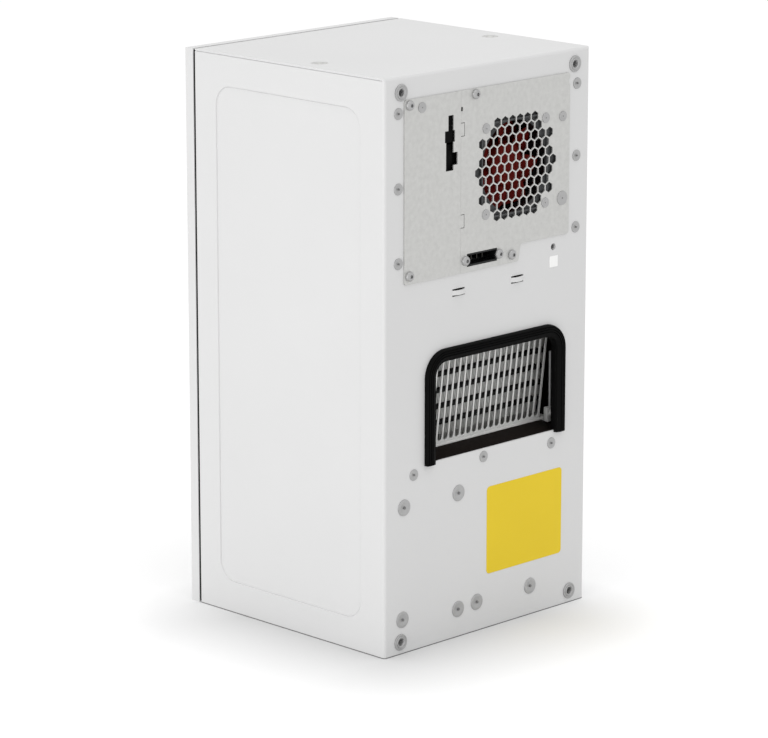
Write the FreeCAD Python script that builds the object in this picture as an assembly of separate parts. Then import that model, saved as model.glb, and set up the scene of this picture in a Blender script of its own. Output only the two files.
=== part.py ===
import FreeCAD, Part
import math
import os

Vector = FreeCAD.Vector

# Enclosure air conditioner, sizes in millimetres.
# X runs side to side, the front faces -Y, the enclosure side faces +Y, Z is up from the floor.

# Cabinet
WIDTH = 280.0
BODY_DEPTH = 272.0
SHEET = 1.5
BEND_RADIUS = 3.0
RETURN_WIDTH = 12.0
SEAM_GROOVE = 0.7
SEAM_DEPTH = 0.9

# Zones of the rear wall from the floor up; together they make the height
SHELF_HEIGHT = 166.0
SILL_RISE = 15.5
OUTLET_HEIGHT = 100.0
BRIDGE_ZONE = 77.0
PLATE_HEIGHT = 174.5
TOP_MARGIN = 22.0

# Clearances
FIT = 0.2
PLUG_GAP = 0.3
SEAT = 0.1
RUN_GAP = 0.1

# Front panel and its seal
PANEL_DEPTH = 12.0
FRONT_SEAL = 3.0
FRONT_SEAL_WIDTH = 10.0
FRONT_SEAL_INSET = 2.0
FRONT_ROUND = 2.0
CLIP_WIDTH = 4.0
CLIP_LENGTH = 12.0
CLIP_HEIGHT = 60.0
CLIP_INSET = 7.0
CLIP_REACH = 4.0

# Pressed field of each side
FIELD_FRONT = 43.0
FIELD_REAR = 31.0
FIELD_MARGIN = 30.5
FIELD_RADIUS = 20.0
FIELD_STEPS = 4
FIELD_DEPTH = 0.6
FIELD_FLANK = 2.5

# Plates on the rear wall
PLATE_SHEET = 1.2
COVER_INSET = 25.0
FAN_PLATE_INSET = 29.0
FAN_PLATE_RAISE = 17.0
TONGUE_X = -40.0
TONGUE_SLOPE = 3.0
PLATE_ROUND = 3.0
SEAM_X = 40.0
SEAM_GAP = 0.1
HOOK_LENGTH = 4.5
HOOK_WIDTH = 12.0
HOOK_GAP = 0.6
HOOK_DROP = (37.0, 124.5)
SEAM_NOTCH = 2.3
SEAM_NOTCH_DROP = (15.5, 19.5)
EDGE_NOTCH = 1.6
EDGE_NOTCH_DROP = (6.0, 12.0)

# Stepped slot over the signal connectors, from the seam and from the plates' top
SLOT_X = (4.5, 8.0, 10.0, 17.0, 20.0, 21.5)
SLOT_DROP = (21.5, 36.0, 47.0, 57.0, 69.0, 74.0)
WINDOW_MARGIN = 13.0

# Evaporator fan behind its honeycomb
FAN_X = -35.7
FAN_DROP = 81.3
CELL_PITCH = 10.35
CELL_WEB = 1.3
GUARD_RADIUS = 54.0
GUARD_ROWS = 5
FAN_SIDE = 92.0
FAN_HOLE_PITCH = 82.5
FAN_DEPTH = 38.0
FAN_HUB = 21.0
FAN_CHORD = 23.0
FAN_BLADES = 7
FAN_GASKET = 3.0

# Parts common to both fans
FRAME_WALL = 1.8
FRAME_CORNER = 3.0
BORE_SIDES = 28
STRUT_THICK = 3.0
POST_RADIUS = 4.0
POST_LENGTH = 20.0
ROTOR_GAP = 1.2
HUB_SETBACK = 7.0
HUB_SIDES = 18
BLADE_ROOT = 2.0
BLADE_PITCH = 34.0
BLADE_CAMBER = 1.8
BLADE_THICK = 3.0
BLADE_WIDEN = 1.4
MOUNT_SIDE = 30.0
STRUT_WIDTH = 4.0

# Cold air outlet and its rubber edge
OUTLET_X = -10.0
OUTLET_WIDTH = 177.0
OUTLET_RADIUS = 18.0
EDGE_LIP = 8.0
EDGE_WEB = 2.0
EDGE_PROUD = 5.0
EDGE_BACK = 3.0
EDGE_BACK_LIP = 4.0
EDGE_ROUND = 2.0
EDGE_TAIL = 2.0

# Fasteners on the rear wall
NUT_INSET = 21.5
NUT_TOP = 14.7
NUT_BASE = 12.3
NUT_FLANGE = 8.0
NUT_FLANGE_THICK = 1.5
NUT_BODY = 5.5
NUT_LENGTH = 15.0
NUT_BORE = 3.4
LIFT_INSET = 24.0
LIFT_SET = 162.0
EDGE_RIVET_INSET = 18.0
RIVET_PITCH = 70.5
SMALL_RIVET = 5.5
LARGE_RIVET = 8.0
FAN_RIVET = 5.0
PLATE_RIVET = 7.0
RIVET_PROUD = 0.8
RIVET_DROP = 12.0
SILL_RIVET_INSET = (39.0, 134.5, 230.5)
SILL_RIVET_RISE = (7.5, 7.5, 3.0)
BRACKET_RIVET_DROP = 22.0
BRACKET_TOP_INSET = (26.0, 100.0)
BRACKET_BASE_INSET = (24.0, 100.0, 126.0, 201.5)
BRACKET_BASE_RISE = (34.0, 28.0, 29.5, 29.5)
PLATE_RIVET_INSET = 10.0
PLATE_RIVET_SPREAD = 40.0
COVER_RIVET_SIDE = 23.0
COVER_RIVET_DROP = 9.5
SCREW_HEAD = 4.8
SCREW_HEAD_THICK = 3.4
SCREW_SIDE = 6.5
SCREW_TOP = 5.5
SCREW_BASE = 8.0
SCREW_SEAM = 19.5
SCREW_TONGUE = 9.5
HEAD_SIDES = 10
EARTH_X = -90.5
EARTH_RISE = 6.5
EARTH_HOLE = 3.5
EARTH_BORE = 2.5
EARTH_NUT = 5.8
EARTH_NUT_LENGTH = 8.0

# Bridges pressed out of the rear wall
BRIDGE_X = (41.0, -40.0)
BRIDGE_WIDTH = 17.0
BRIDGE_STRIP = 4.5
BRIDGE_SLIT = 1.4
BRIDGE_PROUD = 2.6
BRIDGE_DROP = 17.5

# Mains connector in the tongue of the fan plate
MAINS_X = 10.5
MAINS_WIDTH = 41.0
MAINS_HEIGHT = 12.0
MAINS_RISE = 11.5
MAINS_EAR = 46.0
MAINS_DEPTH = 22.0
MAINS_SOCKET = 13.0
MAINS_WALL = 1.5
EAR_MARGIN = 5.0
EAR_THICK = 3.5
FACE_SETBACK = 0.4
PIN_LENGTH = 6.0
PIN_THICK = 1.0
PIN_HEIGHT = 4.0
PIN_COUNT = 5

# Inner space on the enclosure side
CHAMBER_DEPTH = 125.0
BOX_DEPTH = 58.0
BOX_SHEET = 1.2
BOARD_THICK = 1.6
BOARD_GAP = 1.0
BOX_SEAM = 1.5
BOX_OVERLAP = 3.0
BOX_POST = 6.0
BOX_POST_HEIGHT = 12.0
BOX_POST_INSET = 10.0
TERMINAL_BACK = 6.0
TERMINAL_SETBACK = (0.5, 2.0, 3.5)
TERMINAL_STEP = 3.0
TERMINAL_SPLIT = 26.0
TERMINAL_GAP = 2.0
COIL_SET = 31.0
COIL_RISE = 11.5
COIL_DEPTH = 25.0
COIL_LEAN = 6.7
BAR_PITCH = 8.0
FIN_EVERY = 2
FIN_THICK = 1.2
COIL_FREE_END = 44.0
COIL_PIPE_END = 64.0
TUBE_RADIUS = 2.8
TUBE_SET = 4.6
TUBE_FIRST = 13.0
TUBE_PITCH = 16.6
TUBE_ROWS = 4
TUBE_LAST = 30.0
HEADER_RADIUS = 6.0
HEADER_RISE = 8.0
TRAY_DEPTH = 46.0
TRAY_WALL = 4.0
TRAY_DROP = 6.0
GUARD_SHEET = 1.0
GUARD_BAR = 3.0
GUARD_FOOT = 3.0
GUARD_HEAD = 4.0
GUARD_STEPS = 3
SENSOR_RADIUS = 1.6
SENSOR_LENGTH = 71.0
SENSOR_SIDE = 4.0
SENSOR_CLIP_WIDTH = (9.0, 6.0)
SENSOR_CLIP_DEPTH = 6.0
SENSOR_CLIP_DROP = 11.0
SENSOR_CLIP_HEIGHT = 15.0
DRAIN_WALL = 1.5
FOAM_DROP = 0.5
BAFFLE_RISE = 6.0
END_PLATE_EDGE = 1.0
FLANGE = 14.0

# Compressor space
COMPRESSOR_INSET = 74.0
COMPRESSOR_SET = 62.0
COMPRESSOR_RADIUS = 46.0
COMPRESSOR_SIDES = 20
COMPRESSOR_TOP_ROOM = 15.0
CAP_RADIUS = 38.0
CAP_HEIGHT = 12.0
FOOT_PITCH = 76.0
FOOT_SIDE = 16.0
BOLT_RADIUS = 6.0
FOOT_HEIGHT = 20.0
FOOT_PLATE = 3.0
PIPE_RADIUS = 4.0
DISCHARGE_RISE = 20.0
CAPILLARY_RADIUS = 2.0
DRIER_RADIUS = 11.0
DRIER_LENGTH = 60.0
DRAIN_X = -60.0
DRAIN_RADIUS = 5.0
BASE_FLANGE = 20.0
NUT_CLEAR = 1.0
BRACKET_THICK = 2.0
BRACKET_MARGIN = 12.0
BRACKET_HEIGHT = 16.0
BRACKET_GAP = 2.0

# Condenser group behind the front
COND_SET = 28.0
COND_DEPTH = 28.0
COND_INSET = 40.0
COND_TOOTH = 12.0
COND_TOOTH_DEPTH = 6.0
COND_TOP_EDGE = 4.0
COND_FAN_SIDE = 150.0
COND_FAN_DEPTH = 38.0
COND_FAN_HUB = 32.0
COND_FAN_CHORD = 36.0
COND_FAN_BLADES = 5

# Front fittings
GRILLE_INSET = 40.0
GRILLE_DEPTH = 10.0
GRILLE_FRAME = 6.0
SLAT_PITCH = 15.0
SLAT_THICK = 2.0
SLAT_RISE = 7.0
SLAT_START = 1.8
SLAT_SETBACK = 0.6
MULLION_SETBACK = 2.0
EXHAUST_CLIP = 8.0
EXHAUST_CLIP_THICK = 2.0
EXHAUST_CLIP_SET = 30.0
INTAKE_BASE = 58.0
INTAKE_HEIGHT = 204.0
CONTROL_GAP = 20.0
CONTROL_INSET = 70.0
CONTROL_HEIGHT = 36.0
EXHAUST_MARGIN = 40.0
FILTER_THICK = 10.0
BEZEL_THICK = 4.0
BOARD_STANDOFF = 4.0
CONTROL_RIB = 4.0
DISPLAY_DEPTH = 2.5
DISPLAY_MARGIN = 7.0
CONTROL_FLANGE = 4.0
KEY_ROUND = 0.8
KEY_WIDTH = 12.0
KEY_HEIGHT = 9.0
KEY_COLLAR = 1.5
KEY_PITCH = 18.0
KEY_TRAVEL = 1.0

# Places worked out from the sizes above
HALF = WIDTH / 2.0
HEIGHT = SHELF_HEIGHT + SILL_RISE + OUTLET_HEIGHT + BRIDGE_ZONE + PLATE_HEIGHT + TOP_MARGIN
FRONT_Y = -(BODY_DEPTH + EDGE_PROUD) / 2.0
REAR_Y = FRONT_Y + BODY_DEPTH
WALL_Y = REAR_Y - SHEET
SHELL_Y = FRONT_Y + PANEL_DEPTH + FRONT_SEAL
SIDE_X = HALF - SHEET
SILL_Z = SHELF_HEIGHT + SILL_RISE
OUTLET_TOP_Z = SILL_Z + OUTLET_HEIGHT
PLATE_TOP_Z = HEIGHT - TOP_MARGIN
PLATE_BASE_Z = PLATE_TOP_Z - PLATE_HEIGHT
FAN_PLATE_BASE_Z = PLATE_BASE_Z + FAN_PLATE_RAISE
COVER_X = HALF - COVER_INSET
FAN_PLATE_X = -HALF + FAN_PLATE_INSET
PLATE_Y = REAR_Y + PLATE_SHEET
FAN_Z = PLATE_TOP_Z - FAN_DROP
MAINS_Z = PLATE_BASE_Z + MAINS_RISE
CHAMBER_Y = REAR_Y - CHAMBER_DEPTH
COIL_Y = REAR_Y - COIL_SET
COIL_Z = SILL_Z + COIL_RISE
COIL_HEIGHT = TUBE_FIRST + TUBE_PITCH * (TUBE_ROWS - 1) + TUBE_LAST
COIL_X0 = -HALF + COIL_FREE_END
BAR_COUNT = int((HALF - COIL_PIPE_END - COIL_X0) / BAR_PITCH) + 1
COIL_X1 = COIL_X0 + BAR_PITCH * (BAR_COUNT - 1) + FIN_THICK
END_GAP = 2.0
GUARD_SET = max(END_PLATE_EDGE, HEADER_RADIUS - TUBE_SET) + SEAT
TRAY_Y = COIL_Y + GUARD_SET + GUARD_SHEET
TRAY_TOP_Z = COIL_Z - TRAY_DROP
HEADER_X0 = COIL_X0 - END_GAP - SHEET - HEADER_RADIUS - SEAT
HEADER_X1 = COIL_X1 + END_GAP + SHEET + HEADER_RADIUS + SEAT
COMPRESSOR_X = HALF - COMPRESSOR_INSET
COMPRESSOR_Y = REAR_Y - COMPRESSOR_SET
COND_HALF = HALF - COND_INSET
COND_Y0 = FRONT_Y + COND_SET
COND_Y1 = COND_Y0 + COND_DEPTH
SHROUD_Y = COND_Y1 + END_GAP
COND_Z0 = INTAKE_BASE + GRILLE_FRAME
COND_Z1 = INTAKE_BASE + INTAKE_HEIGHT - GRILLE_FRAME
COND_FAN_Z = (COND_Z0 + COND_Z1) / 2.0
COND_HEADER_X = COND_HALF + SHEET + HEADER_RADIUS + SEAT
COND_HEADER_Y = (COND_Y0 + COND_Y1) / 2.0
GRILLE_HALF = HALF - GRILLE_INSET
CONTROL_HALF = HALF - CONTROL_INSET
CONTROL_BASE = INTAKE_BASE + INTAKE_HEIGHT + CONTROL_GAP
CONTROL_Z = CONTROL_BASE + CONTROL_HEIGHT / 2.0
EXHAUST_BASE = CONTROL_BASE + CONTROL_HEIGHT + CONTROL_GAP
EXHAUST_TOP = HEIGHT - EXHAUST_MARGIN
KEY_X = [CONTROL_HALF - CONTROL_RIB - KEY_PITCH * (index + 0.5) for index in range(3)]


def block(x0, x1, y0, y1, z0, z1):
    """Box between two corners."""
    return Part.makeBox(x1 - x0, y1 - y0, z1 - z0, Vector(x0, y0, z0))


def rod_y(x, z, radius, y0, y1):
    """Round bar along Y."""
    return Part.makeCylinder(radius, y1 - y0, Vector(x, y0, z), Vector(0, 1, 0))


def rod_z(x, y, radius, z0, z1):
    """Round bar along Z."""
    return Part.makeCylinder(radius, z1 - z0, Vector(x, y, z0), Vector(0, 0, 1))


def fuse(shapes):
    """One solid out of pieces that touch."""
    return shapes[0].multiFuse(shapes[1:]).removeSplitter()


def cut_all(shape, tools):
    """A shape less all of the tools."""
    return shape.cut(Part.makeCompound(tools))


def prism_xz(points, y0, y1):
    """Plate of an outline in X and Z, between two depths."""
    corners = [Vector(x, y0, z) for x, z in points]
    face = Part.Face(Part.makePolygon(corners + corners[:1]))
    return face.extrude(Vector(0, y1 - y0, 0))


def ring_points(radius, sides):
    """Corners of a many-sided outline; small round pieces take it, so that their facets stay few."""
    angles = [2.0 * math.pi * (turn + 0.5) / sides for turn in range(sides)]
    return [(radius * math.cos(angle), radius * math.sin(angle)) for angle in angles]


def many_sided(x, z, radius, sides, y0, y1):
    """Many-sided bar along Y."""
    return prism_xz([(x + dx, z + dz) for dx, dz in ring_points(radius, sides)], y0, y1)


def many_sided_x(y, z, radius, sides, x0, x1):
    """Many-sided bar along X."""
    corners = [Vector(x0, y + dy, z + dz) for dy, dz in ring_points(radius, sides)]
    return Part.Face(Part.makePolygon(corners + corners[:1])).extrude(Vector(x1 - x0, 0, 0))


def many_sided_z(x, y, radius, sides, z0, z1):
    """Many-sided bar along Z."""
    corners = [Vector(x + dx, y + dy, z0) for dx, dy in ring_points(radius, sides)]
    return Part.Face(Part.makePolygon(corners + corners[:1])).extrude(Vector(0, 0, z1 - z0))


def edges_along(shape, direction):
    """Straight edges of a shape that run along one direction."""
    found = []
    for edge in shape.Edges:
        run = edge.Vertexes[-1].Point - edge.Vertexes[0].Point
        if run.Length > 0 and abs(abs(run.dot(direction)) - run.Length) < 1e-6:
            found.append(edge)
    return found


def arch(side, top, radius, base, y0, y1):
    """Plate with straight legs and two rounded top corners, about the outlet's middle line."""
    shape = block(OUTLET_X - side, OUTLET_X + side, y0, y1, base, top)
    corners = [edge for edge in edges_along(shape, Vector(0, 1, 0)) if edge.CenterOfMass.z > top - 0.01]
    return shape.makeFillet(radius, corners)


def export(name, shape):
    """One STEP file per node."""
    shape.exportStep("parts/" + name + ".step")


# Cabinet


def rear_folds(shape):
    """The three edges where the rear wall folds into the sides and the top."""
    box = shape.BoundBox
    found = []
    for edge in shape.Edges:
        middle = edge.CenterOfMass
        if abs(middle.y - box.YMax) < 0.01 and middle.z > box.ZMin + 0.01:
            found.append(edge)
    return found


def field_wire(x, grow):
    """Outline of the pressed field at one X, its round corners drawn in short straight runs."""
    radius = FIELD_RADIUS + grow
    y0 = FRONT_Y + FIELD_FRONT + FIELD_RADIUS
    y1 = REAR_Y - FIELD_REAR - FIELD_RADIUS
    z0 = FIELD_MARGIN + FIELD_RADIUS
    z1 = HEIGHT - FIELD_MARGIN - FIELD_RADIUS
    points = []
    for corner, (y, z) in enumerate(((y1, z1), (y0, z1), (y0, z0), (y1, z0))):
        for step in range(FIELD_STEPS + 1):
            angle = math.pi / 2.0 * (corner + step / FIELD_STEPS)
            points.append(Vector(x, y + radius * math.cos(angle), z + radius * math.sin(angle)))
    return Part.makePolygon(points + points[:1])


def field_step(side, face_x):
    """Tapered step of the pressed field, from a face of the sheet inwards."""
    rim = field_wire(side * face_x, 0.0)
    floor = field_wire(side * (face_x - FIELD_DEPTH), -FIELD_FLANK)
    return Part.makeLoft([rim, floor], True, True)


def outlet_hole(y0, y1):
    return arch(OUTLET_WIDTH / 2.0, OUTLET_TOP_Z, OUTLET_RADIUS, SILL_Z, y0, y1)


def nut_places():
    """Fixing nuts near the four corners of the rear wall."""
    places = []
    for x in (-HALF + NUT_INSET, HALF - NUT_INSET):
        for z in (NUT_BASE, HEIGHT - NUT_TOP):
            places.append((x, z))
    return places


def lift_places():
    """Lifting inserts in the top."""
    y = FRONT_Y + LIFT_SET
    return [(-HALF + LIFT_INSET, y), (HALF - LIFT_INSET, y)]


def screw_places():
    """Pan-head screws of the two rear plates."""
    return [
        (COVER_X - SCREW_SIDE, PLATE_TOP_Z - SCREW_TOP),
        (COVER_X - SCREW_SIDE, PLATE_BASE_Z + SCREW_BASE),
        (SEAM_X - SCREW_SEAM, PLATE_TOP_Z - SCREW_TOP),
        (TONGUE_X + SCREW_TONGUE, PLATE_BASE_Z + SCREW_BASE),
    ]


def mains_screw_places():
    """Screws at both ends of the mains connector."""
    return [(MAINS_X + MAINS_EAR / 2.0, MAINS_Z), (MAINS_X - MAINS_EAR / 2.0, MAINS_Z)]


def clip_places():
    """Clips that hold the front panel."""
    places = []
    for x in (-HALF + CLIP_INSET, HALF - CLIP_INSET):
        for z in (CLIP_HEIGHT, HEIGHT - CLIP_HEIGHT):
            places.append((x, z))
    return places


def clip(x, z, grow, y0, y1):
    """Tongue of a clip, or its slot."""
    half = CLIP_WIDTH / 2.0 + grow
    reach = CLIP_LENGTH / 2.0 + grow
    return block(x - half, x + half, y0, y1, z - reach, z + reach)


def bridge(x):
    """Strip pressed outwards between two slits of the rear wall."""
    z0 = PLATE_BASE_Z - BRIDGE_DROP - BRIDGE_STRIP / 2.0
    left = x - BRIDGE_WIDTH / 2.0
    right = x + BRIDGE_WIDTH / 2.0
    outer = Part.Arc(Vector(left, REAR_Y, z0), Vector(x, REAR_Y + BRIDGE_PROUD, z0), Vector(right, REAR_Y, z0))
    inner = Part.Arc(Vector(left, WALL_Y, z0), Vector(x, WALL_Y + BRIDGE_PROUD, z0), Vector(right, WALL_Y, z0))
    ends = [
        Part.makeLine(Vector(left, REAR_Y, z0), Vector(left, WALL_Y, z0)),
        Part.makeLine(Vector(right, REAR_Y, z0), Vector(right, WALL_Y, z0)),
    ]
    wire = Part.Wire(Part.__sortEdges__([outer.toShape(), inner.toShape()] + ends))
    return Part.Face(wire).extrude(Vector(0, 0, BRIDGE_STRIP))


def bridge_hole(x):
    """Slot of a bridge: the strip and the slits above and below it."""
    z = PLATE_BASE_Z - BRIDGE_DROP
    reach = BRIDGE_STRIP / 2.0 + BRIDGE_SLIT
    return block(x - BRIDGE_WIDTH / 2.0, x + BRIDGE_WIDTH / 2.0, WALL_Y - 1, REAR_Y + 1, z - reach, z + reach)


def plate_window(y0, y1):
    """Window of the rear wall under the two plates."""
    return block(
        FAN_PLATE_X + WINDOW_MARGIN,
        COVER_X - WINDOW_MARGIN,
        y0,
        y1,
        FAN_PLATE_BASE_Z + WINDOW_MARGIN,
        PLATE_TOP_Z - WINDOW_MARGIN,
    )


def mains_hole(y0, y1):
    """Opening for the body of the mains connector."""
    half = MAINS_WIDTH / 2.0 + PLUG_GAP
    reach = MAINS_HEIGHT / 2.0 + PLUG_GAP
    return block(MAINS_X - half, MAINS_X + half, y0, y1, MAINS_Z - reach, MAINS_Z + reach)


def cabinet_sheets():
    """Rear wall, top and sides in one outline, with a return round the open front."""
    outer = block(-HALF, HALF, SHELL_Y, REAR_Y, 0, HEIGHT)
    outer = outer.makeFillet(BEND_RADIUS, rear_folds(outer))
    inner = block(-SIDE_X, SIDE_X, SHELL_Y + SHEET, WALL_Y, -SHEET, HEIGHT - SHEET)
    inner = inner.makeFillet(BEND_RADIUS - SHEET, rear_folds(inner))
    mouth_x = HALF - RETURN_WIDTH
    mouth = block(-mouth_x, mouth_x, SHELL_Y - 1, SHELL_Y + SHEET + 1, -SHEET, HEIGHT - RETURN_WIDTH)
    shell = cut_all(outer, [inner, mouth])
    for side in (-1.0, 1.0):
        shell = shell.fuse(field_step(side, SIDE_X)).cut(field_step(side, HALF))
    seam_z = HEIGHT - SHEET
    holes = [plate_window(WALL_Y - 1, REAR_Y + 1), outlet_hole(WALL_Y - 1, REAR_Y + 1)]
    holes.append(mains_hole(WALL_Y - 1, REAR_Y + 1))
    for x0, x1 in ((-HALF - 1, -HALF + SEAM_DEPTH), (HALF - SEAM_DEPTH, HALF + 1)):
        holes.append(block(x0, x1, SHELL_Y - 1, REAR_Y - BEND_RADIUS, seam_z - SEAM_GROOVE, seam_z))
    for x in BRIDGE_X:
        holes.append(bridge_hole(x))
    for x, z in nut_places():
        holes.append(many_sided(x, z, NUT_BODY + SEAT, 6, WALL_Y - 1, REAR_Y + 1))
    for x, y in lift_places():
        holes.append(insert_body(x, y, SEAT, HEIGHT - SHEET - 1, HEIGHT + 1))
    for x, z in clip_places():
        holes.append(clip(x, z, SEAT, SHELL_Y - 1, SHELL_Y + SHEET + 1))
    earth_z = PLATE_BASE_Z + EARTH_RISE
    holes.append(many_sided(EARTH_X, earth_z, EARTH_HOLE, HEAD_SIDES, WALL_Y - 1, REAR_Y + 1))
    shell = cut_all(shell, holes)
    return fuse([shell] + [bridge(x) for x in BRIDGE_X])


def side_room(side):
    """Room of one side panel: the side, its front return and its rear fold, up to the seam under the top."""
    fold_x = HALF - BEND_RADIUS
    fold_y = REAR_Y - BEND_RADIUS
    rooms = []
    for x, y0, y1 in ((HALF - RETURN_WIDTH, SHELL_Y - 1, fold_y), (fold_x, fold_y, REAR_Y + 1)):
        x0, x1 = sorted((side * x, side * (HALF + 1)))
        rooms.append(block(x0, x1, y0, y1, -1, HEIGHT - SHEET - SEAM_GROOVE))
    return fuse(rooms)


def housing_shell(cabinet):
    """Rear wall and top, folded from one sheet."""
    return cut_all(cabinet, [side_room(-1.0), side_room(1.0)])


def side_panels(cabinet):
    """Pair of side panels with a pressed field, butted against the rear wall and closed by the top."""
    return Part.makeCompound([cabinet.common(side_room(side)) for side in (-1.0, 1.0)])


def base_pan():
    """Floor of the cabinet with upright edges inside the shell."""
    half = SIDE_X - FIT
    y0 = SHELL_Y + SHEET + FIT
    y1 = WALL_Y - FIT
    pan = block(-half, half, y0, y1, 0, BASE_FLANGE)
    pan = pan.makeChamfer(BEND_RADIUS - SHEET, edges_along(pan, Vector(0, 0, 1)))
    hollow = block(-half + SHEET, half - SHEET, y0 + SHEET, y1 - SHEET, SHEET, BASE_FLANGE + 1)
    reach = DRAIN_RADIUS + SEAT
    y = drain_y()
    holes = [hollow, block(DRAIN_X - reach, DRAIN_X + reach, y - reach, y + reach, -1, SHEET + 1)]
    for x, z in nut_places()[::2]:
        reach = NUT_BODY + NUT_CLEAR
        holes.append(block(x - reach, x + reach, y1 - SHEET - 1, y1 + 1, z - reach, z + reach))
    return cut_all(pan, holes)


def front_panel():
    """Front tray with folded edges, openings for the grilles and the control strip."""
    shape = block(-HALF, HALF, FRONT_Y, FRONT_Y + PANEL_DEPTH, 0, HEIGHT)
    front = [edge for edge in shape.Edges if abs(edge.CenterOfMass.y - FRONT_Y) < 0.01]
    shape = shape.makeFillet(FRONT_ROUND, front)
    y0 = FRONT_Y + SHEET
    y1 = FRONT_Y + PANEL_DEPTH
    lip = RETURN_WIDTH
    hollow = block(-SIDE_X, SIDE_X, y0, y1 - SHEET, SHEET, HEIGHT - SHEET)
    mouth = block(-HALF + lip, HALF - lip, y0, y1 + 1, lip, HEIGHT - lip)
    grille = GRILLE_HALF + PLUG_GAP
    control = CONTROL_HALF + PLUG_GAP
    holes = [
        hollow,
        mouth,
    ]
    for half, low, high in (
        (grille, INTAKE_BASE, INTAKE_BASE + INTAKE_HEIGHT),
        (grille, EXHAUST_BASE, EXHAUST_TOP),
        (control, CONTROL_BASE, CONTROL_BASE + CONTROL_HEIGHT),
    ):
        holes.append(block(-half, half, FRONT_Y - 1, y0 + 1, low - PLUG_GAP, high + PLUG_GAP))
    return cut_all(shape, holes)


def front_seal():
    """Foam frame in the shadow gap between the front panel and the shell."""
    x1 = HALF - FRONT_SEAL_INSET
    z1 = HEIGHT - FRONT_SEAL_INSET
    y0 = FRONT_Y + PANEL_DEPTH
    y1 = SHELL_Y
    x2 = x1 - FRONT_SEAL_WIDTH
    ring = block(-x1, x1, y0, y1, FRONT_SEAL_INSET, z1)
    inner = block(-x2, x2, y0 - 1, y1 + 1, FRONT_SEAL_INSET + FRONT_SEAL_WIDTH, z1 - FRONT_SEAL_WIDTH)
    holes = [clip(x, z, SEAT, y0 - 1, y1 + 1) for x, z in clip_places()]
    return cut_all(ring, [inner] + holes)


def panel_clips():
    """Tongues from the folded edge of the front panel through the seal into the shell."""
    y0 = FRONT_Y + PANEL_DEPTH
    return Part.makeCompound([clip(x, z, 0.0, y0, SHELL_Y + SHEET + CLIP_REACH) for x, z in clip_places()])


# Rear plates and what passes through them


def hook_places():
    """Heights of the two hooks at the seam between the plates."""
    return [PLATE_TOP_Z - drop for drop in HOOK_DROP]


def hook(z, grow):
    """Hook of the cover that lies in a notch of the fan plate."""
    reach = HOOK_WIDTH / 2.0 + grow
    return block(SEAM_X - HOOK_LENGTH - grow, SEAM_X + 1, REAR_Y, PLATE_Y, z - reach, z + reach)


def signal_outline():
    """Stepped slot over the signal connectors, from its upper outer corner round to the seam side and back."""
    x = [SEAM_X + offset for offset in SLOT_X]
    z = [PLATE_TOP_Z - drop for drop in SLOT_DROP]
    upper = [(x[3], z[0]), (x[2], z[0]), (x[2], z[1]), (x[1], z[1]), (x[1], z[2]), (x[2], z[2])]
    lower = [(x[2], z[3]), (x[0], z[3]), (x[0], z[4]), (x[2], z[4]), (x[2], z[5]), (x[4], z[5])]
    return upper + lower + [(x[4], z[2]), (x[5], z[2]), (x[5], z[1]), (x[3], z[1])]


def electronics_cover():
    """Plate over the electronics, with two hooks at the seam."""
    plate = block(SEAM_X, COVER_X, REAR_Y, PLATE_Y, PLATE_BASE_Z, PLATE_TOP_Z)
    outer = [edge for edge in edges_along(plate, Vector(0, 1, 0)) if edge.CenterOfMass.x > SEAM_X + 1]
    plate = plate.makeFillet(PLATE_ROUND, outer)
    plate = fuse([plate] + [hook(z, 0.0) for z in hook_places()])
    return plate.cut(prism_xz(signal_outline(), REAR_Y - 1, PLATE_Y + 1))


def guard_cells():
    """Hexagonal cells of the honeycomb that lie in a circle round the fan's axis."""
    row_pitch = CELL_PITCH * math.sqrt(0.75)
    corner = (CELL_PITCH - CELL_WEB) / math.sqrt(3.0)
    cells = []
    for row in range(-GUARD_ROWS, GUARD_ROWS + 1):
        shift = 0.0 if row % 2 == 1 else 0.5
        reach = int(GUARD_RADIUS / CELL_PITCH) + 1
        for column in range(-reach, reach + 1):
            dx = (column + 0.5 - shift) * CELL_PITCH
            dz = row * row_pitch
            if math.hypot(dx, dz) > GUARD_RADIUS:
                continue
            points = []
            for turn in range(6):
                angle = math.radians(60.0 * turn + 30.0)
                points.append((FAN_X + dx + corner * math.cos(angle), FAN_Z + dz + corner * math.sin(angle)))
            cells.append(prism_xz(points, REAR_Y - 1, PLATE_Y + 1))
    return cells


def fan_plate():
    """Plate with the honeycomb of the fan and a tongue for the mains connector."""
    left = SEAM_X - SEAM_GAP
    outline = [
        (left, PLATE_TOP_Z),
        (left, PLATE_BASE_Z),
        (TONGUE_X, PLATE_BASE_Z),
        (TONGUE_X - TONGUE_SLOPE, FAN_PLATE_BASE_Z),
        (FAN_PLATE_X, FAN_PLATE_BASE_Z),
        (FAN_PLATE_X, PLATE_TOP_Z),
    ]
    plate = prism_xz(outline, REAR_Y, PLATE_Y)
    outer = [edge for edge in edges_along(plate, Vector(0, 1, 0)) if edge.CenterOfMass.x < TONGUE_X + 1]
    plate = plate.makeFillet(PLATE_ROUND, outer)
    holes = guard_cells() + [hook(z, HOOK_GAP) for z in hook_places()]
    holes.append(mains_hole(REAR_Y - 1, PLATE_Y + 1))
    for x0, x1, drop in (
        (left - SEAM_NOTCH, left + 1, SEAM_NOTCH_DROP),
        (FAN_PLATE_X - 1, FAN_PLATE_X + EDGE_NOTCH, EDGE_NOTCH_DROP),
    ):
        holes.append(block(x0, x1, REAR_Y - 1, PLATE_Y + 1, PLATE_TOP_Z - drop[1], PLATE_TOP_Z - drop[0]))
    return cut_all(plate, holes)


def pan_screws(places):
    """Pan heads on the plates."""
    top = PLATE_Y + SCREW_HEAD_THICK
    return Part.makeCompound([many_sided(x, z, SCREW_HEAD, HEAD_SIDES, PLATE_Y, top) for x, z in places])


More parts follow.
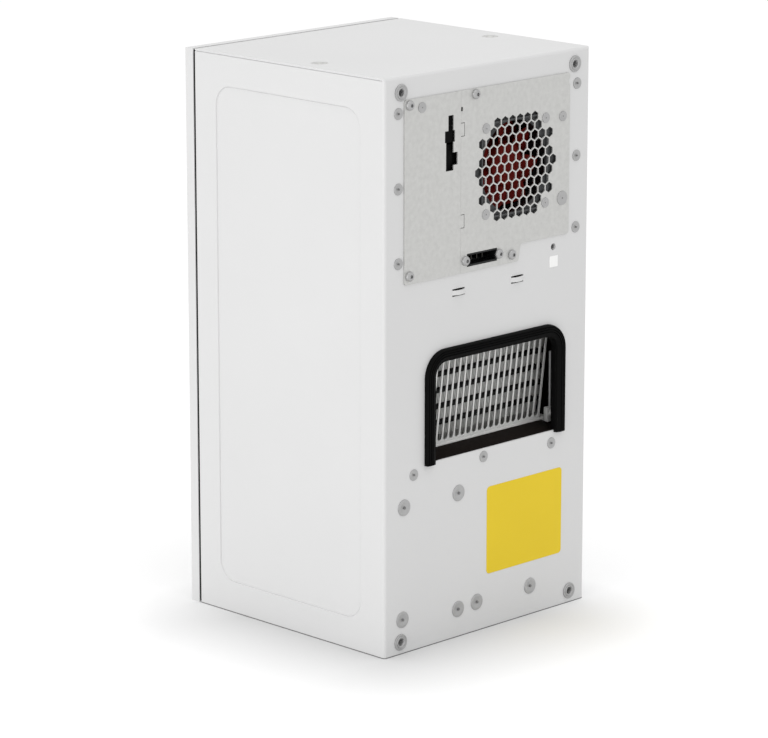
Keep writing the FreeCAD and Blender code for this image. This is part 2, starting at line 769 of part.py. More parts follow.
def mounting_rivet_nuts():
    """Nuts riveted in the rear wall: flange outside, six-sided body inside, threaded bore."""
    nuts = []
    for x, z in nut_places():
        flange = many_sided(x, z, NUT_FLANGE, HEAD_SIDES, REAR_Y, REAR_Y + NUT_FLANGE_THICK)
        body = many_sided(x, z, NUT_BODY, 6, REAR_Y - NUT_LENGTH, REAR_Y)
        bore = rod_y(x, z, NUT_BORE, REAR_Y - NUT_LENGTH - 1, REAR_Y + NUT_FLANGE_THICK + 1)
        nuts.append(fuse([flange, body]).cut(bore))
    return Part.makeCompound(nuts)


def insert_body(x, y, grow, z0, z1):
    """Body of a lifting insert, or its hole."""
    return many_sided_z(x, y, NUT_FLANGE + grow, HEAD_SIDES, z0, z1)


def lifting_inserts():
    """Threaded inserts let into the top, flush with it."""
    inserts = []
    for x, y in lift_places():
        body = insert_body(x, y, 0.0, HEIGHT - NUT_LENGTH, HEIGHT)
        inserts.append(body.cut(rod_z(x, y, NUT_BORE, HEIGHT - NUT_LENGTH - 1, HEIGHT + 1)))
    return Part.makeCompound(inserts)


def earth_nut():
    """Press nut of the earth screw: six-sided body behind the wall, collar through it, flush outside."""
    z = PLATE_BASE_Z + EARTH_RISE
    y0 = WALL_Y - EARTH_NUT_LENGTH
    body = many_sided(EARTH_X, z, EARTH_NUT, 6, y0, WALL_Y)
    collar = many_sided(EARTH_X, z, EARTH_HOLE - SEAT, HEAD_SIDES, WALL_Y - SHEET, REAR_Y)
    return fuse([body, collar]).cut(rod_y(EARTH_X, z, EARTH_BORE, y0 - 1, REAR_Y + 1))


def rivet_heads(places, radius, y):
    """Flat rivet heads on one face."""
    heads = [many_sided(x, z, radius, HEAD_SIDES, y, y + RIVET_PROUD) for x, z in places]
    return Part.makeCompound(heads)


def edge_rivets():
    """Rivets along both upper edges and under the outlet."""
    places = []
    for x in (-HALF + EDGE_RIVET_INSET, HALF - EDGE_RIVET_INSET):
        for row in range(3):
            places.append((x, PLATE_TOP_Z - RIVET_DROP - RIVET_PITCH * row))
    for inset, rise in zip(SILL_RIVET_INSET, SILL_RIVET_RISE):
        places.append((HALF - inset, SHELF_HEIGHT + rise))
    return rivet_heads(places, SMALL_RIVET, REAR_Y)


def bracket_rivets():
    """Large rivets of the two brackets in the compressor space."""
    places = [(HALF - inset, SHELF_HEIGHT - BRACKET_RIVET_DROP) for inset in BRACKET_TOP_INSET]
    for inset, rise in zip(BRACKET_BASE_INSET, BRACKET_BASE_RISE):
        places.append((HALF - inset, rise))
    return rivet_heads(places, LARGE_RIVET, REAR_Y)


def fan_rivets():
    """Rivets that hold the fan to its plate."""
    half = FAN_HOLE_PITCH / 2.0
    places = []
    for dx in (-half, half):
        for dz in (-half, half):
            places.append((FAN_X + dx, FAN_Z + dz))
    side = FAN_PLATE_X + PLATE_RIVET_INSET
    places.append((side, FAN_Z + PLATE_RIVET_SPREAD))
    places.append((COVER_X - COVER_RIVET_SIDE, PLATE_TOP_Z - COVER_RIVET_DROP))
    heads = rivet_heads(places, FAN_RIVET, PLATE_Y)
    large = rivet_heads([(side, FAN_Z - PLATE_RIVET_SPREAD)], PLATE_RIVET, PLATE_Y)
    return Part.makeCompound(heads.Solids + large.Solids)


def mains_connector():
    """Header for the mains plug: ears behind the wall, socket open to the enclosure side."""
    half = MAINS_WIDTH / 2.0
    reach = MAINS_HEIGHT / 2.0
    ear = MAINS_EAR / 2.0 + EAR_MARGIN
    z0 = MAINS_Z - reach
    z1 = MAINS_Z + reach
    body = block(MAINS_X - half, MAINS_X + half, WALL_Y - MAINS_DEPTH, PLATE_Y - FACE_SETBACK, z0, z1)
    ears = block(MAINS_X - ear, MAINS_X + ear, WALL_Y - EAR_THICK, WALL_Y - SEAT, z0, z1)
    socket = block(
        MAINS_X - half + MAINS_WALL,
        MAINS_X + half - MAINS_WALL,
        PLATE_Y - MAINS_SOCKET,
        PLATE_Y + 1,
        z0 + MAINS_WALL,
        z1 - MAINS_WALL,
    )
    return fuse([body, ears]).cut(socket)


def mains_pins():
    """Flat pins standing in the socket."""
    pitch = (MAINS_WIDTH - 2.0 * MAINS_WALL) / PIN_COUNT
    floor = PLATE_Y - MAINS_SOCKET
    pins = []
    for index in range(PIN_COUNT):
        x = MAINS_X + (index - (PIN_COUNT - 1) / 2.0) * pitch
        half = PIN_THICK / 2.0
        reach = PIN_HEIGHT / 2.0
        pins.append(block(x - half, x + half, floor, floor + PIN_LENGTH, MAINS_Z - reach, MAINS_Z + reach))
    return Part.makeCompound(pins)


def box_limits():
    """X and Z limits of the electronics box."""
    x0 = SEAM_X + BOX_SEAM
    x1 = COVER_X - WINDOW_MARGIN + BOX_OVERLAP
    z0 = FAN_PLATE_BASE_Z + WINDOW_MARGIN - BOX_OVERLAP
    z1 = PLATE_TOP_Z - WINDOW_MARGIN + BOX_OVERLAP
    return x0, x1, z0, z1


def electronics_box():
    """Open box behind the cover, closed against the rear wall."""
    x0, x1, z0, z1 = box_limits()
    y0 = WALL_Y - BOX_DEPTH
    box = block(x0, x1, y0, WALL_Y - SEAT, z0, z1)
    inner = block(x0 + BOX_SHEET, x1 - BOX_SHEET, y0 + BOX_SHEET, WALL_Y, z0 + BOX_SHEET, z1 - BOX_SHEET)
    half = BOX_POST / 2.0
    posts = []
    for x in (x0 + BOX_POST_INSET, x1 - BOX_POST_INSET):
        for z in (z0 + BOX_POST_INSET, z1 - BOX_POST_INSET):
            posts.append(block(x - half, x + half, y0 + BOX_SHEET, y0 + BOX_POST_HEIGHT, z - half, z + half))
    return fuse([box.cut(inner)] + posts)


def controller_board():
    """Circuit board on the posts of the box."""
    x0, x1, z0, z1 = box_limits()
    y0 = WALL_Y - BOX_DEPTH + BOX_POST_HEIGHT
    edge = BOX_SHEET + BOARD_GAP
    return block(x0 + edge, x1 - edge, y0, y0 + BOARD_THICK, z0 + edge, z1 - edge)


def signal_terminal():
    """Black connectors on the board behind the stepped slot."""
    y0 = WALL_Y - BOX_DEPTH + BOX_POST_HEIGHT + BOARD_THICK
    y1 = WALL_Y - TERMINAL_BACK
    x0 = SEAM_X + SLOT_X[0]
    x1 = SEAM_X + SLOT_X[-1]
    z0 = PLATE_TOP_Z - SLOT_DROP[-1]
    z1 = PLATE_TOP_Z - SLOT_DROP[0]
    split = z1 - TERMINAL_SPLIT
    high, middle, low = [REAR_Y - setback for setback in TERMINAL_SETBACK]
    inset = x0 + TERMINAL_STEP
    pieces = [
        block(x0, x1, y0, y1, z0, z1),
        block(inset, x1, y1, high, split, z1),
        block(inset + TERMINAL_GAP, x1, y1, middle, z0, split - TERMINAL_GAP),
        block(x0, inset + TERMINAL_GAP, y1, low, z0 + TERMINAL_STEP, split - 2.0 * TERMINAL_STEP),
    ]
    return fuse(pieces)


# Rubber edge of the outlet


def edge_band(inner_grow, outer_grow, base, y0, y1):
    """Inverted U between two outlines that run along the outlet's edge."""
    half = OUTLET_WIDTH / 2.0
    top = OUTLET_TOP_Z
    radius = OUTLET_RADIUS
    outer = arch(half + outer_grow, top + outer_grow, radius + outer_grow, base, y0, y1)
    inner = arch(half + inner_grow, top + inner_grow, radius + inner_grow, base - 1, y0 - 1, y1 + 1)
    return outer.cut(inner)


def outlet_edge_seal():
    """Rubber profile gripping the sheet edge round the top and both sides of the outlet."""
    y1 = REAR_Y + EDGE_PROUD
    lip = edge_band(-EDGE_WEB, EDGE_LIP, SILL_Z - EDGE_TAIL, REAR_Y, y1)
    crest = [edge for edge in lip.Edges if abs(edge.CenterOfMass.y - y1) < 0.01 and edge.BoundBox.ZMax > SILL_Z]
    lip = lip.makeChamfer(EDGE_ROUND, crest)
    web = edge_band(-EDGE_WEB, -SEAT, SILL_Z + SEAT, WALL_Y - EDGE_BACK, REAR_Y + 1.0)
    back = edge_band(-EDGE_WEB, EDGE_BACK_LIP, SILL_Z + SEAT, WALL_Y - EDGE_BACK, WALL_Y - SEAT)
    return fuse([lip, web, back])


# Fans


def fan_frame(x, z, y_face, depth, side, toward):
    """Square fan frame with a round bore, four struts and a bearing post.

    The face at y_face is the inlet, and the frame runs from there in the direction of toward.
    """
    half = side / 2.0
    body = block(x - half, x + half, 0, depth, z - half, z + half)
    body = body.makeChamfer(FRAME_CORNER, edges_along(body, Vector(0, 1, 0)))
    body = body.cut(many_sided(x, z, half - FRAME_WALL, BORE_SIDES, -1, depth + 1))
    plate = MOUNT_SIDE / 2.0
    mount = block(x - plate, x + plate, depth - STRUT_THICK, depth, z - plate, z + plate)
    post = many_sided(x, z, POST_RADIUS, HEAD_SIDES, depth - POST_LENGTH, depth - STRUT_THICK)
    struts = []
    for turn in range(4):
        reach = half - FRAME_WALL / 2.0
        strut = block(x, x + reach, depth - STRUT_THICK, depth, z - STRUT_WIDTH / 2.0, z + STRUT_WIDTH / 2.0)
        struts.append(strut.rotated(Vector(x, 0, z), Vector(0, 1, 0), 90.0 * turn))
    frame = fuse([body, mount, post] + struts)
    if toward < 0:
        frame = frame.rotated(Vector(x, 0, z), Vector(0, 0, 1), 180.0)
    return frame.translated(Vector(0, y_face, 0))


def fan_blade(x, z, root, tip, chord, mid):
    """Cambered blade with flat panels, wider at the tip than at the hub."""
    slope = math.radians(BLADE_PITCH)
    along = Vector(math.cos(slope), math.sin(slope), 0)
    across = Vector(-math.sin(slope), math.cos(slope), 0)
    sections = []
    for radius, widen in ((root, 1.0), (tip, BLADE_WIDEN)):
        middle = Vector(x, mid, z + radius)
        ahead = along * (widen * chord / 2.0)
        bow = across * (widen * BLADE_CAMBER)
        skin = across * (widen * BLADE_THICK / 2.0)
        sections.append([middle - ahead, middle - bow - skin, middle + ahead, middle - bow + skin])
    inner, outer = sections
    panels = [inner, outer]
    for corner in range(4):
        panels.append([inner[corner - 1], inner[corner], outer[corner], outer[corner - 1]])
    faces = [Part.Face(Part.makePolygon(panel + panel[:1])) for panel in panels]
    blade = Part.Solid(Part.Shell(faces))
    if blade.Volume < 0:
        blade.reverse()
    return blade


def fan_rotor(x, z, y_face, depth, side, toward, hub_radius, chord, blades):
    """Hub with blades, bored for the bearing post of its frame."""
    half = side / 2.0
    front = HUB_SETBACK
    back = depth - STRUT_THICK - ROTOR_GAP
    hub = many_sided(x, z, hub_radius, HUB_SIDES, front, back)
    sweep = many_sided(x, z, half - FRAME_WALL - ROTOR_GAP, HUB_SIDES, front, back)
    mid = (front + back) / 2.0
    pieces = [hub]
    for turn in range(blades):
        blade = fan_blade(x, z, hub_radius - BLADE_ROOT, half, chord, mid).common(sweep)
        pieces.append(blade.rotated(Vector(x, 0, z), Vector(0, 1, 0), 360.0 * turn / blades))
    bore = rod_y(x, z, POST_RADIUS + RUN_GAP, depth - POST_LENGTH - ROTOR_GAP, depth)
    rotor = fuse(pieces).cut(bore)
    if toward < 0:
        rotor = rotor.rotated(Vector(x, 0, z), Vector(0, 0, 1), 180.0)
    return rotor.translated(Vector(0, y_face, 0))


def fan_gasket():
    """Foam frame between the fan plate and the fan frame."""
    half = FAN_SIDE / 2.0
    y0 = REAR_Y - FAN_GASKET
    ring = block(FAN_X - half, FAN_X + half, y0, REAR_Y, FAN_Z - half, FAN_Z + half)
    reach = half - FRAME_WALL
    return ring.cut(block(FAN_X - reach, FAN_X + reach, y0 - 1, REAR_Y + 1, FAN_Z - reach, FAN_Z + reach))


# Evaporator on the enclosure side


def leaned(shape):
    """Coil parts lean with the top towards the outlet."""
    return shape.rotated(Vector(0, COIL_Y, COIL_Z), Vector(1, 0, 0), -COIL_LEAN)


def tube_heights():
    return [COIL_Z + TUBE_FIRST + TUBE_PITCH * row for row in range(TUBE_ROWS)]


def tube_holes(x0, x1):
    """Four-sided holes with their flats close to the tubes."""
    y = COIL_Y - TUBE_SET
    reach = TUBE_RADIUS + SEAT
    return [block(x0, x1, y - reach, y + reach, z - reach, z + reach) for z in tube_heights()]


def coil_plate(x, thick, grow):
    """Plate across the coil, with holes for the tubes."""
    plate = block(x, x + thick, COIL_Y - COIL_DEPTH - grow, COIL_Y + grow, COIL_Z, COIL_Z + COIL_HEIGHT + grow)
    return cut_all(plate, tube_holes(x - 1, x + thick + 1))


def evaporator_fins():
    """Fins that stand behind every second bar of the guard."""
    first = coil_plate(COIL_X0, FIN_THICK, 0.0)
    shifts = [BAR_PITCH * index for index in range(0, BAR_COUNT, FIN_EVERY)]
    return Part.makeCompound([leaned(first.translated(Vector(shift, 0, 0))) for shift in shifts])


def evaporator_end_plates():
    near = coil_plate(COIL_X1 + END_GAP, SHEET, END_PLATE_EDGE)
    far = coil_plate(COIL_X0 - END_GAP - SHEET, SHEET, END_PLATE_EDGE)
    return Part.makeCompound([leaned(near), leaned(far)])


def evaporator_tubes():
    """Tubes brazed into a box header at each end."""
    y = COIL_Y - TUBE_SET
    pieces = [many_sided_x(y, z, TUBE_RADIUS, HEAD_SIDES, HEADER_X0, HEADER_X1) for z in tube_heights()]
    half = HEADER_RADIUS
    for x in (HEADER_X0, HEADER_X1):
        pieces.append(block(x - half, x + half, y - half, y + half, COIL_Z + HEADER_RISE, COIL_Z + COIL_HEIGHT))
    return leaned(fuse(pieces))


def guard_slot(x, y0, y1):
    """Upright slot of the coil guard with a round foot."""
    half = (BAR_PITCH - GUARD_BAR) / 2.0
    top = COIL_Z + COIL_HEIGHT - GUARD_HEAD
    centre = TRAY_TOP_Z + GUARD_FOOT + half
    turns = [math.pi * step / GUARD_STEPS for step in range(GUARD_STEPS + 1)]
    foot = [(x - half * math.cos(turn), centre - half * math.sin(turn)) for turn in turns]
    return prism_xz(foot + [(x + half, top), (x - half, top)], y0, y1)


def coil_guard():
    """Slotted sheet in front of the coil, with bars from one end of the fins to the other and one beyond."""
    y0 = COIL_Y + GUARD_SET
    x0 = COIL_X0 - BAR_PITCH + (FIN_THICK - GUARD_BAR) / 2.0
    x1 = COIL_X1 + (GUARD_BAR - FIN_THICK) / 2.0
    sheet = block(x0, x1, y0, TRAY_Y, TRAY_TOP_Z - TRAY_WALL, COIL_Z + COIL_HEIGHT)
    middle = COIL_X0 + (FIN_THICK - BAR_PITCH) / 2.0
    slots = [guard_slot(middle + BAR_PITCH * index, y0 - 1, TRAY_Y + 1) for index in range(BAR_COUNT)]
    return leaned(cut_all(sheet, slots))


def drip_tray():
    """Tray under the coil, moulded in one with the guard that rises from its front wall."""
    y0 = TRAY_Y - TRAY_DEPTH
    x0 = HEADER_X0 - 2.0 * HEADER_RADIUS
    x1 = COIL_X1 + END_GAP
    base = SHELF_HEIGHT + SHEET
    tray = block(x0, x1, y0, TRAY_Y, base, TRAY_TOP_Z)
    inner_y = TRAY_Y - TRAY_WALL
    hollow = block(x0 + TRAY_WALL, x1 - TRAY_WALL, y0 + TRAY_WALL, inner_y, base + TRAY_WALL, TRAY_TOP_Z + 1)
    drain = many_sided_z(DRAIN_X, drain_y(), DRAIN_RADIUS + SEAT, HEAD_SIDES, base - 1, TRAY_TOP_Z)
    return fuse([cut_all(tray, [hollow, drain]), coil_guard()])


def drain_y():
    """Depth of the drain in the middle of the tray."""
    return TRAY_Y - TRAY_DEPTH / 2.0


def drain_tube():
    """Tube that drains the tray through the shelf and the floor."""
    y = drain_y()
    top = SHELF_HEIGHT + SHEET + TRAY_WALL
    tube = many_sided_z(DRAIN_X, y, DRAIN_RADIUS, HEAD_SIDES, 0.0, top)
    return tube.cut(many_sided_z(DRAIN_X, y, DRAIN_RADIUS - DRAIN_WALL, HEAD_SIDES, -1, top + 1))


def outlet_foam():
    """Dark foam on the floor of the outlet."""
    half = OUTLET_WIDTH / 2.0 + EDGE_LIP
    y0 = TRAY_Y + SEAT
    y1 = WALL_Y - FIT - SHEET - SEAT
    x1 = min(OUTLET_X + half, COIL_X1)
    return block(OUTLET_X - half, x1, y0, y1, SHELF_HEIGHT + SHEET, SILL_Z - FOAM_DROP)


def partition():
    """Bent sheet between the two air circuits: upright wall, shelf and a flange on the rear wall."""
    half = SIDE_X - FIELD_DEPTH - FIT
    top = HEIGHT - SHEET - FIT
    y1 = WALL_Y - FIT
    wall = block(-half, half, CHAMBER_Y, CHAMBER_Y + SHEET, SHELF_HEIGHT, top)
    shelf = block(-half, half, CHAMBER_Y, y1, SHELF_HEIGHT, SHELF_HEIGHT + SHEET)
    flange = block(-half, half, y1 - SHEET, y1, SHELF_HEIGHT, SHELF_HEIGHT + FLANGE)
    fold = fuse([wall, shelf, flange])
    holes = []
    for x, y, radius in ((DRAIN_X, drain_y(), DRAIN_RADIUS), (HEADER_X1, suction_y(), PIPE_RADIUS)):
        reach = radius + SEAT
        top = SHELF_HEIGHT + SHEET + 1
        holes.append(block(x - reach, x + reach, y - reach, y + reach, SHELF_HEIGHT - 1, top))
    reach = CAPILLARY_RADIUS + SEAT
    x = HEADER_X0
    y = CHAMBER_Y
    z = capillary_z()
    holes.append(block(x - reach, x + reach, y - 1, y + SHEET + 1, z - reach, z + reach))
    return cut_all(fold, holes)


def air_baffle():
    """Angle that closes the space between the top of the coil and the rear wall."""
    half = SIDE_X - FIELD_DEPTH - FIT
    z = COIL_Z + COIL_HEIGHT + BAFFLE_RISE
    y1 = WALL_Y - FIT
    ledge = block(-half, half, COIL_Y - COIL_DEPTH, y1, z, z + SHEET)
    flange = block(-half, half, y1 - SHEET, y1, z, z + FLANGE)
    return fuse([ledge, flange])


def sensor_place():
    """X and Y of the sensor's axis beside the coil."""
    return HEADER_X0 - HEADER_RADIUS - SENSOR_SIDE, TRAY_Y + SEAT + SENSOR_CLIP_DEPTH / 2.0


def sensor_clip():
    """Clip on the front wall of the tray that holds the temperature sensor."""
    x, y = sensor_place()
    half = SENSOR_CLIP_DEPTH / 2.0
    z0 = COIL_Z - SENSOR_CLIP_DROP
    z1 = z0 + SENSOR_CLIP_HEIGHT
    body = block(x - SENSOR_CLIP_WIDTH[0], x + SENSOR_CLIP_WIDTH[1], y - half, y + half, z0, z1)
    reach = SENSOR_RADIUS + SEAT
    return body.cut(block(x - reach, x + reach, y - reach, y + half + 1, z0 - 1, z1 + 1))


def temperature_sensor():
    """Slim sensor standing in the clip beside the coil."""
    x, y = sensor_place()
    z0 = COIL_Z - SENSOR_CLIP_DROP
    return many_sided_z(x, y, SENSOR_RADIUS, HEAD_SIDES, z0, z0 + SENSOR_LENGTH)


# Refrigerant circuit and compressor space


def suction_y():
    """Depth of the lower end of the leaned header."""
    lean = math.radians(COIL_LEAN)
    return COIL_Y - TUBE_SET * math.cos(lean) + HEADER_RISE * math.sin(lean)


def capillary_z():
    """Height at which the capillary reaches its header."""
    return COIL_Z + COIL_HEIGHT / 2.0


def compressor():
    """Welded compressor shell: body and narrower cap."""
    z0 = SHEET + FOOT_HEIGHT + FOOT_PLATE
    z1 = SHELF_HEIGHT - COMPRESSOR_TOP_ROOM
    x = COMPRESSOR_X
    y = COMPRESSOR_Y
    body = many_sided_z(x, y, COMPRESSOR_RADIUS, COMPRESSOR_SIDES, z0, z1 - CAP_HEIGHT)
    return fuse([body, many_sided_z(x, y, CAP_RADIUS, COMPRESSOR_SIDES, z1 - CAP_HEIGHT, z1)])


def foot_places():
    places = []
    for dx in (-1.0, 1.0):
        for dy in (-1.0, 1.0):
            places.append((COMPRESSOR_X + dx * FOOT_PITCH / 2.0, COMPRESSOR_Y + dy * FOOT_PITCH / 2.0))
    return places


def compressor_base():
    """Foot plate under the compressor."""
    reach = FOOT_PITCH / 2.0 + FOOT_SIDE / 2.0
    x = COMPRESSOR_X
    y = COMPRESSOR_Y
    z0 = SHEET + FOOT_HEIGHT
    return block(x - reach, x + reach, y - reach, y + reach, z0, z0 + FOOT_PLATE)


def compressor_grommets():
    """Rubber feet between the floor and the foot plate."""
    half = FOOT_SIDE / 2.0
    feet = []
    for x, y in foot_places():
        feet.append(block(x - half, x + half, y - half, y + half, SHEET, SHEET + FOOT_HEIGHT))
    return Part.makeCompound(feet)


def compressor_bolts():
    """Six-sided bolt heads on the foot plate, one over each rubber foot."""
    z0 = SHEET + FOOT_HEIGHT + FOOT_PLATE
    bolts = []
    for x, y in foot_places():
        corners = []
        for turn in range(6):
            angle = math.radians(60.0 * turn)
            corners.append(Vector(x + BOLT_RADIUS * math.cos(angle), y + BOLT_RADIUS * math.sin(angle), z0))
        bolts.append(Part.Face(Part.makePolygon(corners + corners[:1])).extrude(Vector(0, 0, BOLT_RADIUS)))
    return Part.makeCompound(bolts)


def suction_line():
    """From the evaporator header straight down to the cap of the compressor."""
    lean = math.radians(COIL_LEAN)
    top = COIL_Z + HEADER_RISE * math.cos(lean) - PIPE_RADIUS * math.sin(lean) - SEAT
    base = SHELF_HEIGHT - COMPRESSOR_TOP_ROOM
    return many_sided_z(HEADER_X1, suction_y(), PIPE_RADIUS, HEAD_SIDES, base, top)


def discharge_line(can):
    """From the side of the compressor straight forward to the condenser header."""
    z = COND_Z0 + DISCHARGE_RISE
    y0 = COND_HEADER_Y + HEADER_RADIUS
    return many_sided(COND_HEADER_X, z, PIPE_RADIUS, HEAD_SIDES, y0, COMPRESSOR_Y).cut(can)


def drier_span():
    """Both ends of the filter drier, between the condenser and the partition."""
    middle = (COND_HEADER_Y + CHAMBER_Y) / 2.0
    return middle - DRIER_LENGTH / 2.0, middle + DRIER_LENGTH / 2.0


def filter_drier():
    y0, y1 = drier_span()
    return many_sided(HEADER_X0, capillary_z(), DRIER_RADIUS, HEAD_SIDES, y0, y1)


def liquid_line():
    y0, y1 = drier_span()
    return many_sided(HEADER_X0, capillary_z(), PIPE_RADIUS, HEAD_SIDES, COND_HEADER_Y + HEADER_RADIUS, y0)


def capillary_tube():
    y0, y1 = drier_span()
    lean = math.radians(COIL_LEAN)
    rise = COIL_HEIGHT / 2.0
    back = COIL_Y - (TUBE_SET + HEADER_RADIUS) / math.cos(lean)
    end = back + (rise - CAPILLARY_RADIUS) * math.tan(lean) - SEAT
    return many_sided(HEADER_X0, capillary_z(), CAPILLARY_RADIUS, HEAD_SIDES, y1, end)


def rear_brackets():
    """Flat brackets behind the large rivets."""
    y0 = WALL_Y - BRACKET_THICK
    z0 = BASE_FLANGE + BRACKET_GAP
    x3, x2, x1, x0 = [HALF - inset for inset in BRACKET_BASE_INSET]
    tall = block(x2 - BRACKET_MARGIN, x3 + BRACKET_MARGIN, y0, WALL_Y, z0, SHELF_HEIGHT - BRACKET_MARGIN)
    low = block(x0 - BRACKET_MARGIN, x1 + BRACKET_MARGIN, y0, WALL_Y, z0, z0 + BRACKET_HEIGHT)
    return Part.makeCompound([tall, low])


# Condenser group


def condenser_fins():
    """Fin pack as one ribbed block: a rib for each group of fins on the intake side."""
    points = [Vector(COND_HALF, COND_Y1, COND_Z0), Vector(-COND_HALF, COND_Y1, COND_Z0)]
    count = int(2.0 * COND_HALF / COND_TOOTH)
    pitch = 2.0 * COND_HALF / count
    root = COND_Y0 + COND_TOOTH_DEPTH
    for index in range(count):
        x = -COND_HALF + pitch * index
        points.append(Vector(x, COND_Y0, COND_Z0))
        points.append(Vector(x + pitch / 2.0, COND_Y0, COND_Z0))
        points.append(Vector(x + pitch / 2.0, root, COND_Z0))
        if index < count - 1:
            points.append(Vector(x + pitch, root, COND_Z0))
    points.append(Vector(COND_HALF, root, COND_Z0))
    return Part.Face(Part.makePolygon(points + points[:1])).extrude(Vector(0, 0, COND_Z1 - COND_Z0))


def condenser_end_plates():
    """Uprights that carry the condenser and the fan shroud on the floor."""
    plates = []
    for x in (-COND_HALF - SHEET, COND_HALF):
        plates.append(block(x, x + SHEET, COND_Y0, SHROUD_Y, SHEET, COND_Z1 + COND_TOP_EDGE))
    return Part.makeCompound(plates)


def condenser_headers():
    """Upright box headers at both ends of the condenser."""
    y0 = COND_HEADER_Y - HEADER_RADIUS
    y1 = COND_HEADER_Y + HEADER_RADIUS
    headers = []
    for x in (-COND_HEADER_X, COND_HEADER_X):
        headers.append(block(x - HEADER_RADIUS, x + HEADER_RADIUS, y0, y1, COND_Z0, COND_Z1))
    return Part.makeCompound(headers)


def fan_shroud():
    """Plate with an eight-sided opening that leads the air to the condenser fan."""
    half = COND_HALF + SHEET
    plate = block(-half, half, SHROUD_Y, SHROUD_Y + SHEET, SHEET, COND_Z1 + COND_TOP_EDGE)
    return plate.cut(many_sided(0, COND_FAN_Z, COND_FAN_SIDE / 2.0, 8, SHROUD_Y - 1, SHROUD_Y + SHEET + 1))


# Front fittings


def louvre_grille(z0, z1):
    """Frame with sloping slats, flush with the front panel."""
    y0 = FRONT_Y
    y1 = FRONT_Y + GRILLE_DEPTH
    inner = GRILLE_HALF - GRILLE_FRAME
    frame = block(-GRILLE_HALF, GRILLE_HALF, y0, y1, z0, z1)
    frame = frame.cut(block(-inner, inner, y0 - 1, y1 + 1, z0 + GRILLE_FRAME, z1 - GRILLE_FRAME))
    count = int((z1 - z0 - 2.0 * GRILLE_FRAME) / SLAT_PITCH)
    pitch = (z1 - z0 - 2.0 * GRILLE_FRAME) / count
    pieces = [frame, block(-SLAT_THICK, SLAT_THICK, y0 + MULLION_SETBACK, y1, z0 + 1.0, z1 - 1.0)]
    for index in range(count):
        low = z0 + GRILLE_FRAME + pitch * index + SLAT_START
        high = low + SLAT_RISE
        corners = [
            Vector(-inner - 1, y0 + SLAT_SETBACK, low),
            Vector(-inner - 1, y1 - SLAT_SETBACK, high),
            Vector(-inner - 1, y1 - SLAT_SETBACK, high + SLAT_THICK),
            Vector(-inner - 1, y0 + SLAT_SETBACK, low + SLAT_THICK),
        ]
        slat = Part.Face(Part.makePolygon(corners + corners[:1])).extrude(Vector(2.0 * inner + 2, 0, 0))
        pieces.append(slat)
    return fuse(pieces)


def filter_mat():
    """Filter fleece behind the intake grille."""
    inset = GRILLE_FRAME / 2.0
    y0 = FRONT_Y + GRILLE_DEPTH
    x1 = GRILLE_HALF - inset
    return block(-x1, x1, y0, y0 + FILTER_THICK, INTAKE_BASE + inset, INTAKE_BASE + INTAKE_HEIGHT - inset)


def exhaust_clips():
    """Spring clips that hold the exhaust grille behind the front sheet."""
    y0 = FRONT_Y + SHEET
    y1 = y0 + EXHAUST_CLIP_THICK
    clips = []
    for x0 in (-GRILLE_HALF - EXHAUST_CLIP, GRILLE_HALF):
        for z in (EXHAUST_BASE + EXHAUST_CLIP_SET, EXHAUST_TOP - EXHAUST_CLIP_SET):
            clips.append(block(x0, x0 + EXHAUST_CLIP, y0, y1, z - EXHAUST_CLIP, z + EXHAUST_CLIP))
    return Part.makeCompound(clips)


def display_frame():
    """X and Z limits of the display window in the control strip."""
    x0 = -CONTROL_HALF + DISPLAY_MARGIN
    x1 = KEY_X[2] - KEY_PITCH
    return x0, x1, CONTROL_BASE + DISPLAY_MARGIN, CONTROL_BASE + CONTROL_HEIGHT - DISPLAY_MARGIN


def key_block(x, grow, y0, y1):
    """Key outline, or its hole, between two depths."""
    half = KEY_WIDTH / 2.0 + grow
    reach = KEY_HEIGHT / 2.0 + grow
    return block(x - half, x + half, y0, y1, CONTROL_Z - reach, CONTROL_Z + reach)


def control_bezel():
    """Control strip: flush face, flange behind the front sheet, board posts."""
    y0 = FRONT_Y
    y1 = FRONT_Y + BEZEL_THICK
    z0 = CONTROL_BASE
    z1 = CONTROL_BASE + CONTROL_HEIGHT
    face = block(-CONTROL_HALF, CONTROL_HALF, y0, y1, z0, z1)
    wide = CONTROL_HALF + CONTROL_FLANGE
    flange = block(-wide, wide, y0 + SHEET + SEAT, y1, z0 - CONTROL_FLANGE, z1 + CONTROL_FLANGE)
    posts = []
    for x in (-CONTROL_HALF, CONTROL_HALF - CONTROL_RIB):
        posts.append(block(x, x + CONTROL_RIB, y1, y1 + BOARD_STANDOFF, z0, z1))
    x0, x1, dz0, dz1 = display_frame()
    holes = [block(x0, x1, y0 - 1, y0 + DISPLAY_DEPTH, dz0, dz1)]
    for x in KEY_X:
        holes.append(key_block(x, PLUG_GAP, y0 - 1, y1 + 1))
    return cut_all(fuse([face, flange] + posts), holes)


def display_window():
    """Dark window set into the control strip."""
    x0, x1, z0, z1 = display_frame()
    return block(x0 + SEAT, x1 - SEAT, FRONT_Y + PLUG_GAP, FRONT_Y + DISPLAY_DEPTH, z0 + SEAT, z1 - SEAT)


def control_board():
    """Board behind the control strip."""
    y0 = FRONT_Y + BEZEL_THICK + BOARD_STANDOFF
    return block(-CONTROL_HALF, CONTROL_HALF, y0, y0 + BOARD_THICK, CONTROL_BASE, CONTROL_BASE + CONTROL_HEIGHT)


